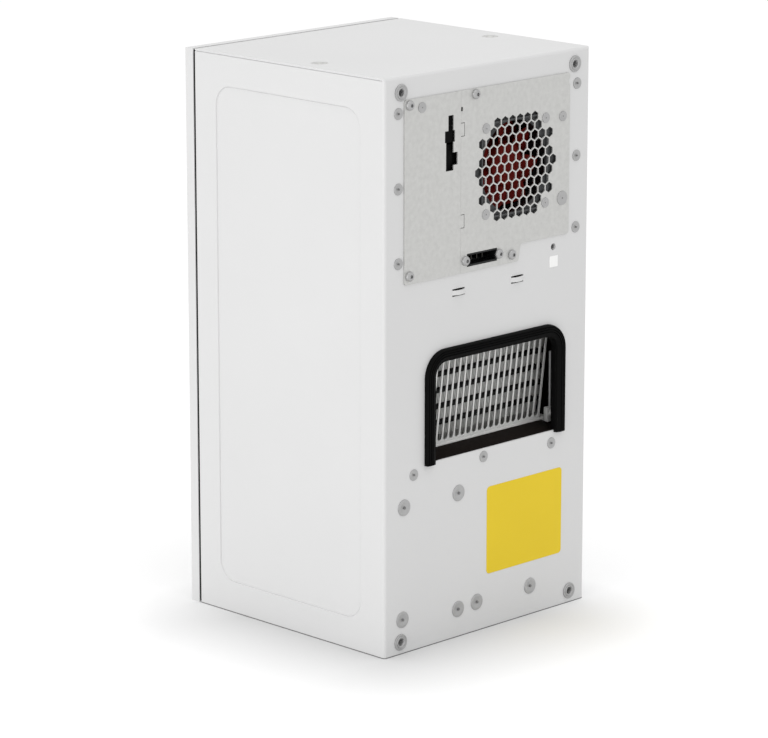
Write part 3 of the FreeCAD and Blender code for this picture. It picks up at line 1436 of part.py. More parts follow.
def control_key(x):
    """Key with a collar that keeps it behind the strip."""
    y1 = FRONT_Y + BEZEL_THICK + PLUG_GAP
    y2 = FRONT_Y + BEZEL_THICK + BOARD_STANDOFF - KEY_TRAVEL - PLUG_GAP
    cap = key_block(x, 0.0, FRONT_Y, y2)
    cap = cap.makeChamfer(KEY_ROUND, [edge for edge in cap.Edges if abs(edge.CenterOfMass.y - FRONT_Y) < 0.01])
    return fuse([cap, key_block(x, KEY_COLLAR, y1, y2)])


os.makedirs("parts", exist_ok=True)

cabinet = cabinet_sheets()
export("housing_shell", housing_shell(cabinet))
export("side_panels", side_panels(cabinet))
export("base_pan", base_pan())
export("front_panel", front_panel())
export("front_seal", front_seal())
export("panel_clips", panel_clips())

export("electronics_cover", electronics_cover())
export("fan_plate", fan_plate())
export("plate_screws", pan_screws(screw_places() + mains_screw_places()))
export("mounting_rivet_nuts", mounting_rivet_nuts())
export("lifting_inserts", lifting_inserts())
export("earth_nut", earth_nut())
export("edge_rivets", edge_rivets())
export("bracket_rivets", bracket_rivets())
export("fan_rivets", fan_rivets())
export("rear_brackets", rear_brackets())
export("outlet_edge_seal", outlet_edge_seal())

export("mains_connector", mains_connector())
export("mains_pins", mains_pins())
export("electronics_box", electronics_box())
export("controller_board", controller_board())
export("signal_terminal", signal_terminal())

export("fan_gasket", fan_gasket())
fan_face = REAR_Y - FAN_GASKET
export("evaporator_fan_frame", fan_frame(FAN_X, FAN_Z, fan_face, FAN_DEPTH, FAN_SIDE, -1.0))
rotor = fan_rotor(FAN_X, FAN_Z, fan_face, FAN_DEPTH, FAN_SIDE, -1.0, FAN_HUB, FAN_CHORD, FAN_BLADES)
export("evaporator_fan_rotor", rotor)

export("evaporator_fins", evaporator_fins())
export("evaporator_end_plates", evaporator_end_plates())
export("evaporator_tubes", evaporator_tubes())
export("drip_tray", drip_tray())
export("drain_tube", drain_tube())
export("outlet_foam", outlet_foam())
export("partition", partition())
export("air_baffle", air_baffle())
export("sensor_clip", sensor_clip())
export("temperature_sensor", temperature_sensor())

can = compressor()
export("compressor", can)
export("compressor_base", compressor_base())
export("compressor_grommets", compressor_grommets())
export("compressor_bolts", compressor_bolts())
export("suction_line", suction_line())
export("discharge_line", discharge_line(can))
export("filter_drier", filter_drier())
export("liquid_line", liquid_line())
export("capillary_tube", capillary_tube())

export("condenser_fins", condenser_fins())
export("condenser_end_plates", condenser_end_plates())
export("condenser_headers", condenser_headers())
export("fan_shroud", fan_shroud())
cond_fan_face = SHROUD_Y + SHEET
export("condenser_fan_frame", fan_frame(0.0, COND_FAN_Z, cond_fan_face, COND_FAN_DEPTH, COND_FAN_SIDE, 1.0))
cond_hub = (COND_FAN_HUB, COND_FAN_CHORD, COND_FAN_BLADES)
cond_rotor = fan_rotor(0.0, COND_FAN_Z, cond_fan_face, COND_FAN_DEPTH, COND_FAN_SIDE, 1.0, *cond_hub)
export("condenser_fan_rotor", cond_rotor)

export("intake_grille", louvre_grille(INTAKE_BASE, INTAKE_BASE + INTAKE_HEIGHT))
export("filter_mat", filter_mat())
export("exhaust_grille", louvre_grille(EXHAUST_BASE, EXHAUST_TOP))
export("exhaust_clips", exhaust_clips())
export("control_bezel", control_bezel())
export("display_window", display_window())
export("control_board", control_board())
export("key_set", control_key(KEY_X[0]))
export("key_down", control_key(KEY_X[1]))
export("key_up", control_key(KEY_X[2]))
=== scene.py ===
import math

import bpy
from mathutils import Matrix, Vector


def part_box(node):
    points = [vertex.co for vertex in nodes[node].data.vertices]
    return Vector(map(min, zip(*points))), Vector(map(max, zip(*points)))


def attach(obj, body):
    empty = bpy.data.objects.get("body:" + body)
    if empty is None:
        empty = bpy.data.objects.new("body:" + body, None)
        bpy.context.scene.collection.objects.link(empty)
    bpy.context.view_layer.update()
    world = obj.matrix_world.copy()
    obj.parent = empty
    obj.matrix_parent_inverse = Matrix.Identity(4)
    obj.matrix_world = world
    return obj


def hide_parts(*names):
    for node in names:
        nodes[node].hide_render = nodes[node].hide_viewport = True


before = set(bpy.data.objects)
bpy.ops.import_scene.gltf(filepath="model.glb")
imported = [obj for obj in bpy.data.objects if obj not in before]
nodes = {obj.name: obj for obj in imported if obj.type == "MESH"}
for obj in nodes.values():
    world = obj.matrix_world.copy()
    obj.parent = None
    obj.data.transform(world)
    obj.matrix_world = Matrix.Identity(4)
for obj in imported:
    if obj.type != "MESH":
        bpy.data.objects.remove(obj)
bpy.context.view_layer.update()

# Enclosure air conditioner, seen from the side that is set against the enclosure.
# Lengths are in metres; a size given in millimetres is written as a number times MM.
MM = 0.001
QUARTER = math.pi / 2.0
# Points closer than this are merged
WELD = 0.005 * MM
# An edge or a normal lies along an axis when more than this share of its unit length does
ALONG = 0.9


# Tools of the modelling


def deselect():
    """Nothing is selected, so that the next operator acts on the new piece alone."""
    bpy.ops.object.select_all(action="DESELECT")


def hold(piece):
    """The piece is the only one selected, and the active one."""
    deselect()
    piece.select_set(True)
    bpy.context.view_layer.objects.active = piece


def settle():
    """Back to object mode, with the place of the active piece put into its mesh."""
    if bpy.context.mode != "OBJECT":
        bpy.ops.object.mode_set(mode="OBJECT")
    bpy.ops.object.transform_apply(location=True, rotation=True, scale=True)
    return bpy.context.object


def drop(piece):
    """Deletes a piece that has done its work."""
    hold(piece)
    bpy.ops.object.delete()


def put(piece, place, turn=(0, 0, 0)):
    """Turns a piece that was made about the origin, and moves it to its place."""
    hold(piece)
    piece.rotation_euler = turn
    piece.location = place
    return settle()


def block(low, high):
    """Box between two corners."""
    deselect()
    low, high = Vector(low), Vector(high)
    bpy.ops.mesh.primitive_cube_add(size=1.0, location=(low + high) / 2.0)
    bpy.context.object.scale = high - low
    return settle()


def bar(sides, radius, length, place, turn):
    """Many-sided bar about a place, turned out of the upright."""
    deselect()
    bpy.ops.mesh.primitive_cylinder_add(
        vertices=sides, radius=radius, depth=length, location=place, rotation=turn
    )
    return settle()


def pick(piece, faces=None, edges=None):
    """Edit mode with those faces or edges selected whose middle and direction pass the test."""
    hold(piece)
    mesh = piece.data
    for group in (mesh.vertices, mesh.edges, mesh.polygons):
        for item in group:
            item.select = False
    if faces:
        for face in mesh.polygons:
            face.select = bool(faces(face.center, face.normal))
    if edges:
        for edge in mesh.edges:
            start, end = [mesh.vertices[index].co for index in edge.vertices]
            edge.select = bool(edges((start + end) / 2.0, (end - start).normalized()))
    bpy.context.tool_settings.mesh_select_mode = (False, edges is not None, faces is not None)
    bpy.ops.object.mode_set(mode="EDIT")


def push(x, y, z):
    """Extrudes what is selected."""
    bpy.ops.mesh.extrude_region_move(TRANSFORM_OT_translate={"value": (x, y, z)})


def draw(points):
    """Line through the points, drawn in edit mode by extruding one vertex from point to point."""
    deselect()
    bpy.ops.mesh.primitive_plane_add(size=MM, location=points[0])
    settle()
    bpy.context.tool_settings.mesh_select_mode = (True, False, False)
    bpy.ops.object.mode_set(mode="EDIT")
    bpy.ops.mesh.select_all(action="SELECT")
    bpy.ops.mesh.merge(type="CENTER")
    for last, point in zip(points, points[1:]):
        push(*(Vector(point) - Vector(last)))
    bpy.ops.mesh.select_all(action="SELECT")


def outline(points):
    """Closed line through the points, left selected in edit mode."""
    draw(points + points[:1])
    bpy.ops.mesh.remove_doubles(threshold=WELD)
    bpy.ops.mesh.select_all(action="SELECT")


def tidy_mesh():
    """Merges doubled points and turns the faces outwards, in edit mode."""
    bpy.ops.mesh.select_all(action="SELECT")
    bpy.ops.mesh.remove_doubles(threshold=WELD)
    bpy.ops.mesh.normals_make_consistent(inside=False)


def slab(points, x, y, z):
    """Closed outline that is filled and extruded."""
    outline(points)
    bpy.ops.mesh.edge_face_add()
    push(x, y, z)
    tidy_mesh()
    return settle()


def turned(profile, sides=48):
    """Turned piece about the Y axis: the profile holds pairs of radius and height in millimetres."""
    draw([(radius * MM, height * MM, 0.0) for radius, height in profile])
    bpy.ops.mesh.spin(steps=sides, angle=2.0 * math.pi, center=(0, 0, 0), axis=(0, 1, 0))
    tidy_mesh()
    return settle()


def round_edges(piece, radius, segments, test):
    """Rounds the edges that pass the test."""
    pick(piece, edges=test)
    bpy.ops.mesh.bevel(offset=radius, segments=segments, affect="EDGES")
    return settle()


def smooth(piece, angle=35.0):
    """Smooth shading that keeps the edges sharper than the angle."""
    hold(piece)
    bpy.ops.object.shade_smooth_by_angle(angle=math.radians(angle))
    return piece


def modify(piece, kind, **settings):
    """Adds a modifier and applies it."""
    hold(piece)
    modifier = piece.modifiers.new(kind.lower(), kind)
    for name, value in settings.items():
        setattr(modifier, name, value)
    bpy.ops.object.modifier_apply(modifier=modifier.name)
    return piece


def soften(piece, width, segments, angle=30.0):
    """Rounds all edges that are sharper than the angle."""
    limit = math.radians(angle)
    return modify(piece, "BEVEL", width=width, segments=segments, limit_method="ANGLE", angle_limit=limit)


def cut(piece, tool, operation="DIFFERENCE"):
    """Takes the tool's shape out of a piece, or keeps what lies inside it; the tool goes."""
    modify(piece, "BOOLEAN", operation=operation, object=tool, solver="EXACT")
    drop(tool)
    return piece


def join(pieces):
    """One object out of several."""
    hold(pieces[0])
    for piece in pieces:
        piece.select_set(True)
    if len(pieces) > 1:
        bpy.ops.object.join()
    return settle()


def copy_to(model, places, turns=None):
    """Copies of a model, each with its own mesh, turned about Y, moved and joined; the model goes."""
    made = []
    for place, turn in zip(places, turns or [0.0] * len(places)):
        hold(model)
        bpy.ops.object.duplicate(linked=False)
        copy = bpy.context.object
        copy.rotation_euler = (0, turn, 0)
        copy.location = place
        made.append(copy)
    drop(model)
    return join(made)


def corners(name):
    """Lowest and highest corner of a CAD node."""
    return [Vector(corner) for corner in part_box(name)]


def solids(name):
    """Lowest and highest corner of each separate solid of a CAD node."""
    deselect()
    twin = nodes[name].copy()
    twin.data = nodes[name].data.copy()
    bpy.context.collection.objects.link(twin)
    hold(twin)
    bpy.ops.object.mode_set(mode="EDIT")
    bpy.ops.mesh.select_all(action="SELECT")
    bpy.ops.mesh.remove_doubles(threshold=WELD)
    bpy.ops.mesh.separate(type="LOOSE")
    bpy.ops.object.mode_set(mode="OBJECT")
    boxes = []
    for part in bpy.context.selected_objects:
        points = [part.matrix_world @ vertex.co for vertex in part.data.vertices]
        low = Vector([min(point[axis] for point in points) for axis in range(3)])
        high = Vector([max(point[axis] for point in points) for axis in range(3)])
        boxes.append((low, high))
    bpy.ops.object.delete()
    return boxes


def middles(name, y):
    """Middle of each solid of a node, put at one depth."""
    return [((low.x + high.x) / 2.0, y, (low.z + high.z) / 2.0) for low, high in solids(name)]


def give(piece, name, finish, body="cabinet", replaced=()):
    """Names a finished piece, gives it its material, hangs it on the body it rides on, and hides the CAD
    parts it replaces.
    """
    piece.name = name
    piece.data.name = name
    piece.data.materials.clear()
    piece.data.materials.append(finish)
    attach(piece, body)
    if replaced:
        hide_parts(*replaced)
    return piece


# Materials


def srgb(code):
    """Linear colour of an sRGB hex value."""
    channels = [int(code[start:start + 2], 16) / 255.0 for start in (1, 3, 5)]
    linear = [value / 12.92 if value <= 0.04045 else ((value + 0.055) / 1.055) ** 2.4 for value in channels]
    return (*linear, 1.0)


def per(size):
    """Scale of a pattern whose features are that many millimetres across."""
    return 1.0 / (size * MM)


def add(tree, kind, sockets=(), **settings):
    """One node with its settings, the values of its sockets and its links."""
    node = tree.nodes.new("ShaderNode" + kind)
    for name, value in settings.items():
        setattr(node, name, value)
    for name, value in dict(sockets).items():
        if isinstance(value, bpy.types.NodeSocket):
            tree.links.new(value, node.inputs[name])
        else:
            node.inputs[name].default_value = value
    return node


# What the shader gets beside colour, gloss and relief: surfaces that mirror little, and a white glow, which
# is the floor's painted light
MATT = {"IOR": 1.45, "Specular IOR Level": 0.15}
SATIN = {"IOR": 1.53, "Specular IOR Level": 0.25}
DULL = {"IOR": 1.45, "Specular IOR Level": 0.06}
GLOW = {"IOR": 1.2, "Specular IOR Level": 0.0, "Emission Color": (1.0, 1.0, 1.0, 1.0)}
# Patterns pulled out along Z, as in rolled fins that stand upright
UPRIGHT = (1.0, 1.0, 0.08)


def finish(name, dark, light, grain, rough, relief, patch, shader, stretch=(1.0, 1.0, 1.0)):
    """Surface whose colour wanders between two near tones, with a fine relief and uneven gloss.

    grain is the size of the relief and patch the size of the tone's patches, in millimetres; relief is its
    depth in millimetres, rough the two ends of the roughness, and stretch pulls the patterns along an axis.
    """
    made = bpy.data.materials.new(name)
    made.use_nodes = True
    tree = made.node_tree
    tree.nodes.clear()
    place = add(tree, "TexCoord").outputs["Object"]
    place = add(tree, "Mapping", {"Vector": place, "Scale": stretch}).outputs["Vector"]
    clouds = add(tree, "TexNoise", {"Vector": place, "Scale": per(patch), "Detail": 4.0})
    grit = add(tree, "TexNoise", {"Vector": place, "Scale": per(grain), "Detail": 3.0})
    # Sockets 0, 6 and 7 of a colour mix are its share and its two colours
    tone = add(tree, "Mix", {0: clouds.outputs["Fac"], 6: srgb(dark), 7: srgb(light)}, data_type="RGBA")
    gloss = add(tree, "MapRange", {"Value": grit.outputs["Fac"], "To Min": rough[0], "To Max": rough[1]})
    bump = add(tree, "Bump", {"Height": grit.outputs["Fac"], "Distance": relief * MM, "Strength": 1.0})
    sockets = {
        "Base Color": tone.outputs[2],
        "Roughness": gloss.outputs["Result"],
        "Normal": bump.outputs["Normal"],
    }
    surface = add(tree, "BsdfPrincipled", {**sockets, **shader})
    add(tree, "OutputMaterial", {"Surface": surface.outputs["BSDF"]})
    return made


# Powder-coated steel: an even light grey with a fine orange peel, drawn coarser than it is so that it shows
powder_coat = finish(
    "powder_coated_steel", "#C9C9C9", "#CDCDCD",
    grain=2.2, rough=(0.42, 0.52), relief=0.012, patch=120.0, shader={"IOR": 1.5},
)
# Galvanised sheet: dull zinc with faint crystals and a speckle
galvanised = finish(
    "galvanised_steel_sheet", "#B8B8B6", "#CECECC",
    grain=1.6, rough=(0.42, 0.62), relief=0.02, patch=5.0, shader={"Metallic": 0.75},
)
# Zinc-plated steel of the fasteners: a little darker than the sheet
zinc = finish(
    "zinc_plated_steel", "#A6A6A6", "#B3B3B3",
    grain=1.2, rough=(0.45, 0.6), relief=0.008, patch=6.0, shader={"Metallic": 0.85},
)
# Phosphated steel of the rivets' mandrels: a dull, darker grey; on the strip along the lower edge the same
# grey is a painted shadow line at the floor
mandrel_steel_and_shadow_strip = finish(
    "phosphated_steel_and_painted_shadow", "#727272", "#808080",
    grain=0.6, rough=(0.5, 0.7), relief=0.02, patch=1.5, shader={"Metallic": 0.6},
)
# Extruded EPDM: matt black with a faint sheen along the ridges
epdm = finish(
    "extruded_epdm_rubber", "#050505", "#0A0A0A",
    grain=1.5, rough=(0.55, 0.7), relief=0.02, patch=20.0, shader=DULL,
)
# Closed-cell foam: brownish black and pitted, darkened further as painted shade for the dark floor of the
# outlet
foam_and_painted_shade = finish(
    "closed_cell_foam_and_painted_shade", "#0E0A08", "#1E1713",
    grain=1.4, rough=(0.85, 0.98), relief=0.25, patch=4.0, shader=MATT,
)
# Moulded PBT: black, satin, with an even grain
black_pbt = finish(
    "moulded_black_pbt", "#0C0D0E", "#141516",
    grain=1.1, rough=(0.36, 0.5), relief=0.01, patch=25.0, shader=SATIN,
)
# Moulded PBT of the fan's flange, a dark grey
grey_pbt = finish(
    "moulded_dark_grey_pbt", "#3A3B3C", "#444546",
    grain=1.1, rough=(0.4, 0.55), relief=0.01, patch=25.0, shader=SATIN,
)
# Moulded PBT with a dark red pigment, as in fan rotors
red_pbt = finish(
    "moulded_red_pbt", "#520E0A", "#5E130E",
    grain=1.1, rough=(0.5, 0.65), relief=0.01, patch=25.0, shader=DULL,
)
# Rolled aluminium fin stock: bright, with streaks from the rolling that run up the fins
fin_stock = finish(
    "rolled_aluminium_fin_stock", "#D9DAD8", "#F2F2F0",
    grain=0.9, rough=(0.3, 0.5), relief=0.02, patch=6.0, shader={"Metallic": 0.5}, stretch=UPRIGHT,
)
# Copper tube coloured near black, so that the tube rows show dark between the fins
near_black_tube = finish(
    "near_black_copper_tube", "#060606", "#0C0C0C",
    grain=1.3, rough=(0.4, 0.6), relief=0.01, patch=12.0, shader=MATT,
)
# Drawn copper tube, browned in places by brazing
copper = finish(
    "drawn_copper_tube", "#8F4F33", "#C07A55",
    grain=1.0, rough=(0.25, 0.45), relief=0.006, patch=15.0, shader={"Metallic": 1.0},
)
# Moulded ABS of the drip tray: pale grey and satin
tray_abs = finish(
    "moulded_grey_abs", "#CDCDCB", "#D9D9D7",
    grain=1.5, rough=(0.45, 0.6), relief=0.012, patch=40.0, shader={"IOR": 1.53},
)
# Glass-epoxy board under green solder mask
board = finish(
    "green_solder_mask", "#123D22", "#1E5A34",
    grain=1.8, rough=(0.25, 0.4), relief=0.01, patch=3.0, shader={"IOR": 1.55},
)
# Baked black enamel of the compressor: glossy
enamel = finish(
    "baked_black_enamel", "#0C0C0D", "#171718",
    grain=2.0, rough=(0.2, 0.35), relief=0.01, patch=30.0, shader={"IOR": 1.5},
)
# Moulded ABS of the grilles and the control strip, close to the cabinet's grey
grille_abs = finish(
    "moulded_light_grey_abs", "#C0C1C0", "#C8C9C8",
    grain=1.4, rough=(0.4, 0.55), relief=0.012, patch=60.0, shader={"IOR": 1.53},
)
# Needled polyester fleece of the filter, fibres drawn coarse enough to show
fleece = finish(
    "polyester_filter_fleece", "#B9BCBC", "#E6E8E8",
    grain=1.2, rough=(0.9, 1.0), relief=0.5, patch=2.0, shader=MATT,
)
# Smoked acrylic window: glossy, almost black
acrylic = finish(
    "smoked_acrylic", "#060708", "#0C0E10",
    grain=6.0, rough=(0.04, 0.1), relief=0.001, patch=50.0, shader={"IOR": 1.49},
)
# Silicone rubber of the keys: dark grey and soft to the eye
silicone = finish(
    "silicone_rubber_keys", "#2B2D30", "#35373A",
    grain=1.2, rough=(0.5, 0.65), relief=0.01, patch=15.0, shader={"IOR": 1.41},
)
# White print on the keys
key_print = finish(
    "white_pad_print", "#DADADA", "#E8E8E8",
    grain=1.0, rough=(0.5, 0.6), relief=0.002, patch=3.0, shader={"IOR": 1.5},
)
# Tinned brass pins, coloured dark as painted shade for the depth of their connector
shaded_pin_brass = finish(
    "tinned_brass_in_painted_shade", "#33322F", "#3D3C39",
    grain=0.8, rough=(0.22, 0.36), relief=0.004, patch=3.0, shader={"Metallic": 1.0},
)
# Yellow vinyl film: even, slightly glossy
vinyl = finish(
    "yellow_vinyl_film", "#D6B915", "#DCC01B",
    grain=3.0, rough=(0.38, 0.5), relief=0.004, patch=60.0, shader=SATIN,
)
# White paper with a matt coat
paper = finish(
    "white_coated_paper", "#E7E7E6", "#EDEDEC",
    grain=1.0, rough=(0.6, 0.75), relief=0.004, patch=6.0, shader=MATT,
)
# Matt studio floor: pale grey beside the cabinet as a painted contact shadow, with a painted glow that grows
# with the distance up to plain white
floor_paint = finish(
    "matt_floor_with_painted_contact_shadow", "#D4D4D4", "#D6D6D6",
    grain=30.0, rough=(0.9, 0.95), relief=0.0, patch=500.0, shader=GLOW,
)


def paint_floor_contact_shadow(made, middle, half, reach, glow):
    """Painted contact shadow: the glow of a material grows with the distance from a box, given by its middle
    and half its size, so the surface stays darker near the box.
    """
    tree = made.node_tree
    place = add(tree, "TexCoord").outputs["Object"]
    place = add(tree, "VectorMath", {0: place, 1: middle}, operation="SUBTRACT").outputs["Vector"]
    away = add(tree, "VectorMath", {0: place}, operation="ABSOLUTE").outputs["Vector"]
    beyond = add(tree, "VectorMath", {0: away, 1: half}, operation="SUBTRACT").outputs["Vector"]
    beyond = add(tree, "VectorMath", {0: beyond, 1: (0, 0, 0)}, operation="MAXIMUM").outputs["Vector"]
    far = add(tree, "VectorMath", {0: beyond}, operation="LENGTH").outputs["Value"]
    share = add(tree, "MapRange", {"Value": far, "From Max": reach, "To Max": glow})
    tree.links.new(share.outputs["Result"], tree.nodes["Principled BSDF"].inputs["Emission Strength"])


# The floor's glow is painted light: it leaves a painted shadow round the cabinet and turns the floor white
# further off
paint_floor_contact_shadow(floor_paint, middle=(0.04, 0.04, 0.0), half=(0.1, 0.094, 0.0), reach=0.13, glow=0.3)

node_finish = {
    powder_coat: ["housing_shell", "side_panels", "front_panel", "base_pan"],
    galvanised: ["electronics_cover", "fan_plate", "rear_brackets", "partition", "air_baffle", "fan_shroud",
                 "evaporator_end_plates", "condenser_end_plates", "compressor_base", "exhaust_clips",
                 "lifting_inserts"],
    zinc: ["panel_clips", "plate_screws", "mounting_rivet_nuts", "earth_nut", "edge_rivets",
           "bracket_rivets", "fan_rivets", "compressor_bolts", "temperature_sensor"],
    epdm: ["front_seal", "outlet_edge_seal", "compressor_grommets", "drain_tube", "signal_terminal"],
    foam_and_painted_shade: ["outlet_foam"],
    black_pbt: ["mains_connector", "condenser_fan_frame", "condenser_fan_rotor", "evaporator_fan_frame"],
    grey_pbt: ["fan_gasket"],
    red_pbt: ["evaporator_fan_rotor"],
    fin_stock: ["evaporator_fins", "condenser_fins"],
    near_black_tube: ["evaporator_tubes"],
    copper: ["suction_line", "discharge_line", "liquid_line", "capillary_tube", "condenser_headers",
             "filter_drier"],
    tray_abs: ["drip_tray", "sensor_clip"],
    board: ["controller_board", "control_board"],
    enamel: ["compressor", "electronics_box"],
    grille_abs: ["intake_grille", "exhaust_grille", "control_bezel"],
    fleece: ["filter_mat"],
    acrylic: ["display_window"],
    silicone: ["key_set", "key_down", "key_up"],
    shaded_pin_brass: ["mains_pins"],
}
for surface, names in node_finish.items():
    for name in names:
        nodes[name].data.materials.clear()
        nodes[name].data.materials.append(surface)


# Places read from the frame: outer faces of the rear wall and its plates, top and half width of the cabinet

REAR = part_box("edge_rivets")[0][1]
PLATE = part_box("fan_rivets")[0][1]
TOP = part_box("housing_shell")[1][2]
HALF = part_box("housing_shell")[1][0]
# Radius of the folds between the sides and the rear
FOLD = 3.0 * MM


# Side panels


def pressed_field(side):
    """Tool that presses the field of a side panel: round corners, a sloped step, a fine line at its foot."""
    depth = 0.8 * MM
    line = 0.3 * MM
    slope = 1.2 * MM
    corner = 20.0 * MM
    front, rear = -95.5 * MM, 102.5 * MM
    foot, head = 30.5 * MM, 524.5 * MM
    low = Vector((HALF - depth - line, front, foot))
    high = Vector((HALF + MM, rear, head))
    field = block(low, high)
    round_edges(field, corner, segments=8, test=lambda middle, along: abs(along.x) > ALONG)
    pick(field, faces=lambda middle, normal: normal.x < -ALONG)
    shrink = [1.0 - 2.0 * slope / (high[axis] - low[axis]) for axis in (1, 2)]
    bpy.ops.transform.resize(value=(1.0, *shrink))
    bpy.ops.mesh.inset(thickness=line, depth=0)
    bpy.ops.transform.translate(value=(line, 0, 0))
    settle()
    if side < 0:
        field.scale = (-1.0, 1.0, 1.0)
        settle()
        bpy.ops.object.mode_set(mode="EDIT")
        tidy_mesh()
        settle()
    return field


def side_panel(side):
    """Panel folded from sheet, with a front return, a round rear fold and a pressed field."""
    low, high = corners("side_panels")
    sheet = 1.5 * MM
    lip = 12.0 * MM
    steps = 6
    front = low.y
    edge = HALF - lip
    turns = [QUARTER * step / steps for step in range(steps + 1)]
    inner = FOLD - sheet
    across, behind = HALF - FOLD, high.y - FOLD
    plan = [(edge, front), (HALF, front)]
    plan += [(across + FOLD * math.cos(turn), behind + FOLD * math.sin(turn)) for turn in turns]
    plan += [(across + inner * math.cos(turn), behind + inner * math.sin(turn)) for turn in reversed(turns)]
    plan += [(HALF - sheet, front + sheet), (edge, front + sheet)]
    panel = slab([(side * x, y, low.z) for x, y in plan], 0, 0, high.z - low.z)
    return cut(panel, pressed_field(side))


panels = join([side_panel(1.0), side_panel(-1.0)])
give(smooth(panels), "pressed_side_panels", powder_coat, replaced=["side_panels"])


# Seal behind the front panel, and a painted shadow line along the lower edge of the cabinet


def front_bead():
    """Rubber frame that nearly fills the gap behind the front panel."""
    low, high = corners("front_seal")
    reach = Vector((MM, 0, MM))
    width = 10.0 * MM
    corner = 1.5 * MM
    bead = block(low - reach, high + reach)
    pick(bead, faces=lambda middle, normal: abs(normal.y) > ALONG)
    bpy.ops.mesh.inset(thickness=width, depth=0)
    bpy.ops.mesh.bridge_edge_loops()
    tidy_mesh()
    settle()
    return round_edges(bead, corner, segments=4, test=lambda middle, along: abs(along.y) > ALONG)


give(smooth(front_bead()), "front_seal_bead", epdm, replaced=["front_seal"])


def painted_shadow_strip():
    """Dark strip along the bottom that is a painted shadow line at the floor: a thin strip round the sides
    and the rear.
    """
    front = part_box("side_panels")[0][1]
    proud = 0.1 * MM
    sheet = 0.5 * MM
    height = 0.9 * MM
    side, rear = HALF + proud, REAR + proud
    plan = [(side, front), (side, rear), (-side, rear), (-side, front)]
    side, rear = HALF - sheet, REAR - sheet
    plan += [(-side, front), (-side, rear), (side, rear), (side, front)]
    strip = slab([(x, y, 0) for x, y in plan], 0, 0, height)
    return round_edges(
        strip, FOLD, segments=6, test=lambda middle, along: abs(along.z) > ALONG and middle.y > REAR - MM
    )


give(smooth(painted_shadow_strip()), "painted_shadow_lower_strip", mandrel_steel_and_shadow_strip)


# Fasteners; their profiles are in millimetres

# Radius of the bore and pitch of the threads, and the foot of the M8 nuts and inserts
M8_BORE, M8_PITCH = 3.4, 1.25
M6_BORE, M6_PITCH = 2.2, 1.0
M8_FOOT = -15.0


def rivet(radius):
    """Flat rivet head with a rounded rim and a shallow dish."""
    proud = 0.8
    return turned([
        (0.0, 0.0),
        (radius, 0.0),
        (radius, proud * 0.55),
        (radius - 0.12, proud * 0.85),
        (radius - 0.4, proud),
        (radius * 0.62, proud),
        (radius * 0.55, proud * 0.78),
        (0.0, proud * 0.7),
    ])


def mandrel(radius, tip):
    """Broken end of the mandrel, which stands as high as the tip in the middle of a rivet."""
    end = radius * 0.17
    foot = 0.1
    return turned([(0.0, foot), (end, foot), (end, tip - 0.3), (end * 0.6, tip), (0.0, tip - 0.1)], sides=16)


def rivets(node, depth, sizes, tip):
    """Rivets of one node, each of the radius nearest to its solid's; the mandrels are kept for later."""
    groups = {radius: [] for radius in sizes}
    for low, high in solids(node):
        width = (high.z - low.z) / 2.0 / MM
        nearest = min(sizes, key=lambda radius: abs(radius - width))
        groups[nearest].append(((low.x + high.x) / 2.0, depth, (low.z + high.z) / 2.0))
    for radius, places in groups.items():
        mandrels.append(copy_to(mandrel(radius, tip), places))
    rows = [copy_to(rivet(radius), places) for radius, places in groups.items()]
    return smooth(join(rows))


mandrels = []
heads = rivets("edge_rivets", REAR, sizes=[5.5], tip=1.8)
give(heads, "edge_rivet_heads", zinc, replaced=["edge_rivets"])
heads = rivets("bracket_rivets", REAR, sizes=[8.0], tip=1.8)
give(heads, "bracket_rivet_heads", zinc, replaced=["bracket_rivets"])
heads = rivets("fan_rivets", PLATE, sizes=[5.0, 7.0], tip=0.7)
give(heads, "fan_rivet_heads", zinc, replaced=["fan_rivets"])
give(smooth(join(mandrels)), "rivet_mandrels", mandrel_steel_and_shadow_strip)


def pan_screw():
    """Pan head with a six-sided socket."""
    head = turned([
        (0.0, 0.0), (4.8, 0.0), (4.8, 0.9), (4.6, 1.7), (4.0, 2.5), (3.0, 3.1), (1.6, 3.35), (0.0, 3.4),
    ])
    socket = bar(sides=6, radius=1.9 * MM, length=4.0 * MM, place=(0, 3.6 * MM, 0), turn=(-QUARTER, 0, 0))
    return cut(head, socket)


screws = copy_to(pan_screw(), middles("plate_screws", PLATE))
give(smooth(screws), "plate_screw_heads", zinc, replaced=["plate_screws"])


def thread(radius, start, end, pitch):
    """Grooves of a thread down a bore, from one height to another."""
    groove = radius * 1.09
    points = []
    height = start
    while height > end + pitch:
        points.append((radius, height - pitch * 0.25))
        points.append((groove, height - pitch * 0.75))
        height -= pitch
    return points


def rivet_nut():
    """Flanged nut: two rings on the flange, a threaded bore and a sleeve that reaches through the sheet."""
    sleeve = 4.7
    profile = [(sleeve, M8_FOOT), (sleeve, 0.0), (8.0, 0.0), (8.0, 0.9), (7.6, 1.3), (6.6, 1.3), (6.3, 1.0)]
    profile += [(5.6, 1.0), (5.3, 1.5), (4.3, 1.5), (3.9, 1.1)] + thread(M8_BORE, 0.8, M8_FOOT, M8_PITCH)
    return turned(profile + [(M8_BORE, M8_FOOT), (sleeve, M8_FOOT)])


nuts = copy_to(rivet_nut(), middles("mounting_rivet_nuts", REAR))
give(smooth(nuts), "flanged_rivet_nuts", zinc, replaced=["mounting_rivet_nuts"])


def lifting_insert():
    """Insert flush with the top: a chamfered rim and a threaded bore."""
    rim = 7.6
    profile = [(rim, M8_FOOT), (rim, -0.4), (7.3, -0.1), (4.6, -0.1), (3.9, -0.8)]
    profile += thread(M8_BORE, -1.0, M8_FOOT, M8_PITCH) + [(M8_BORE, M8_FOOT), (rim, M8_FOOT)]
    return put(turned(profile), (0, 0, 0), (QUARTER, 0, 0))


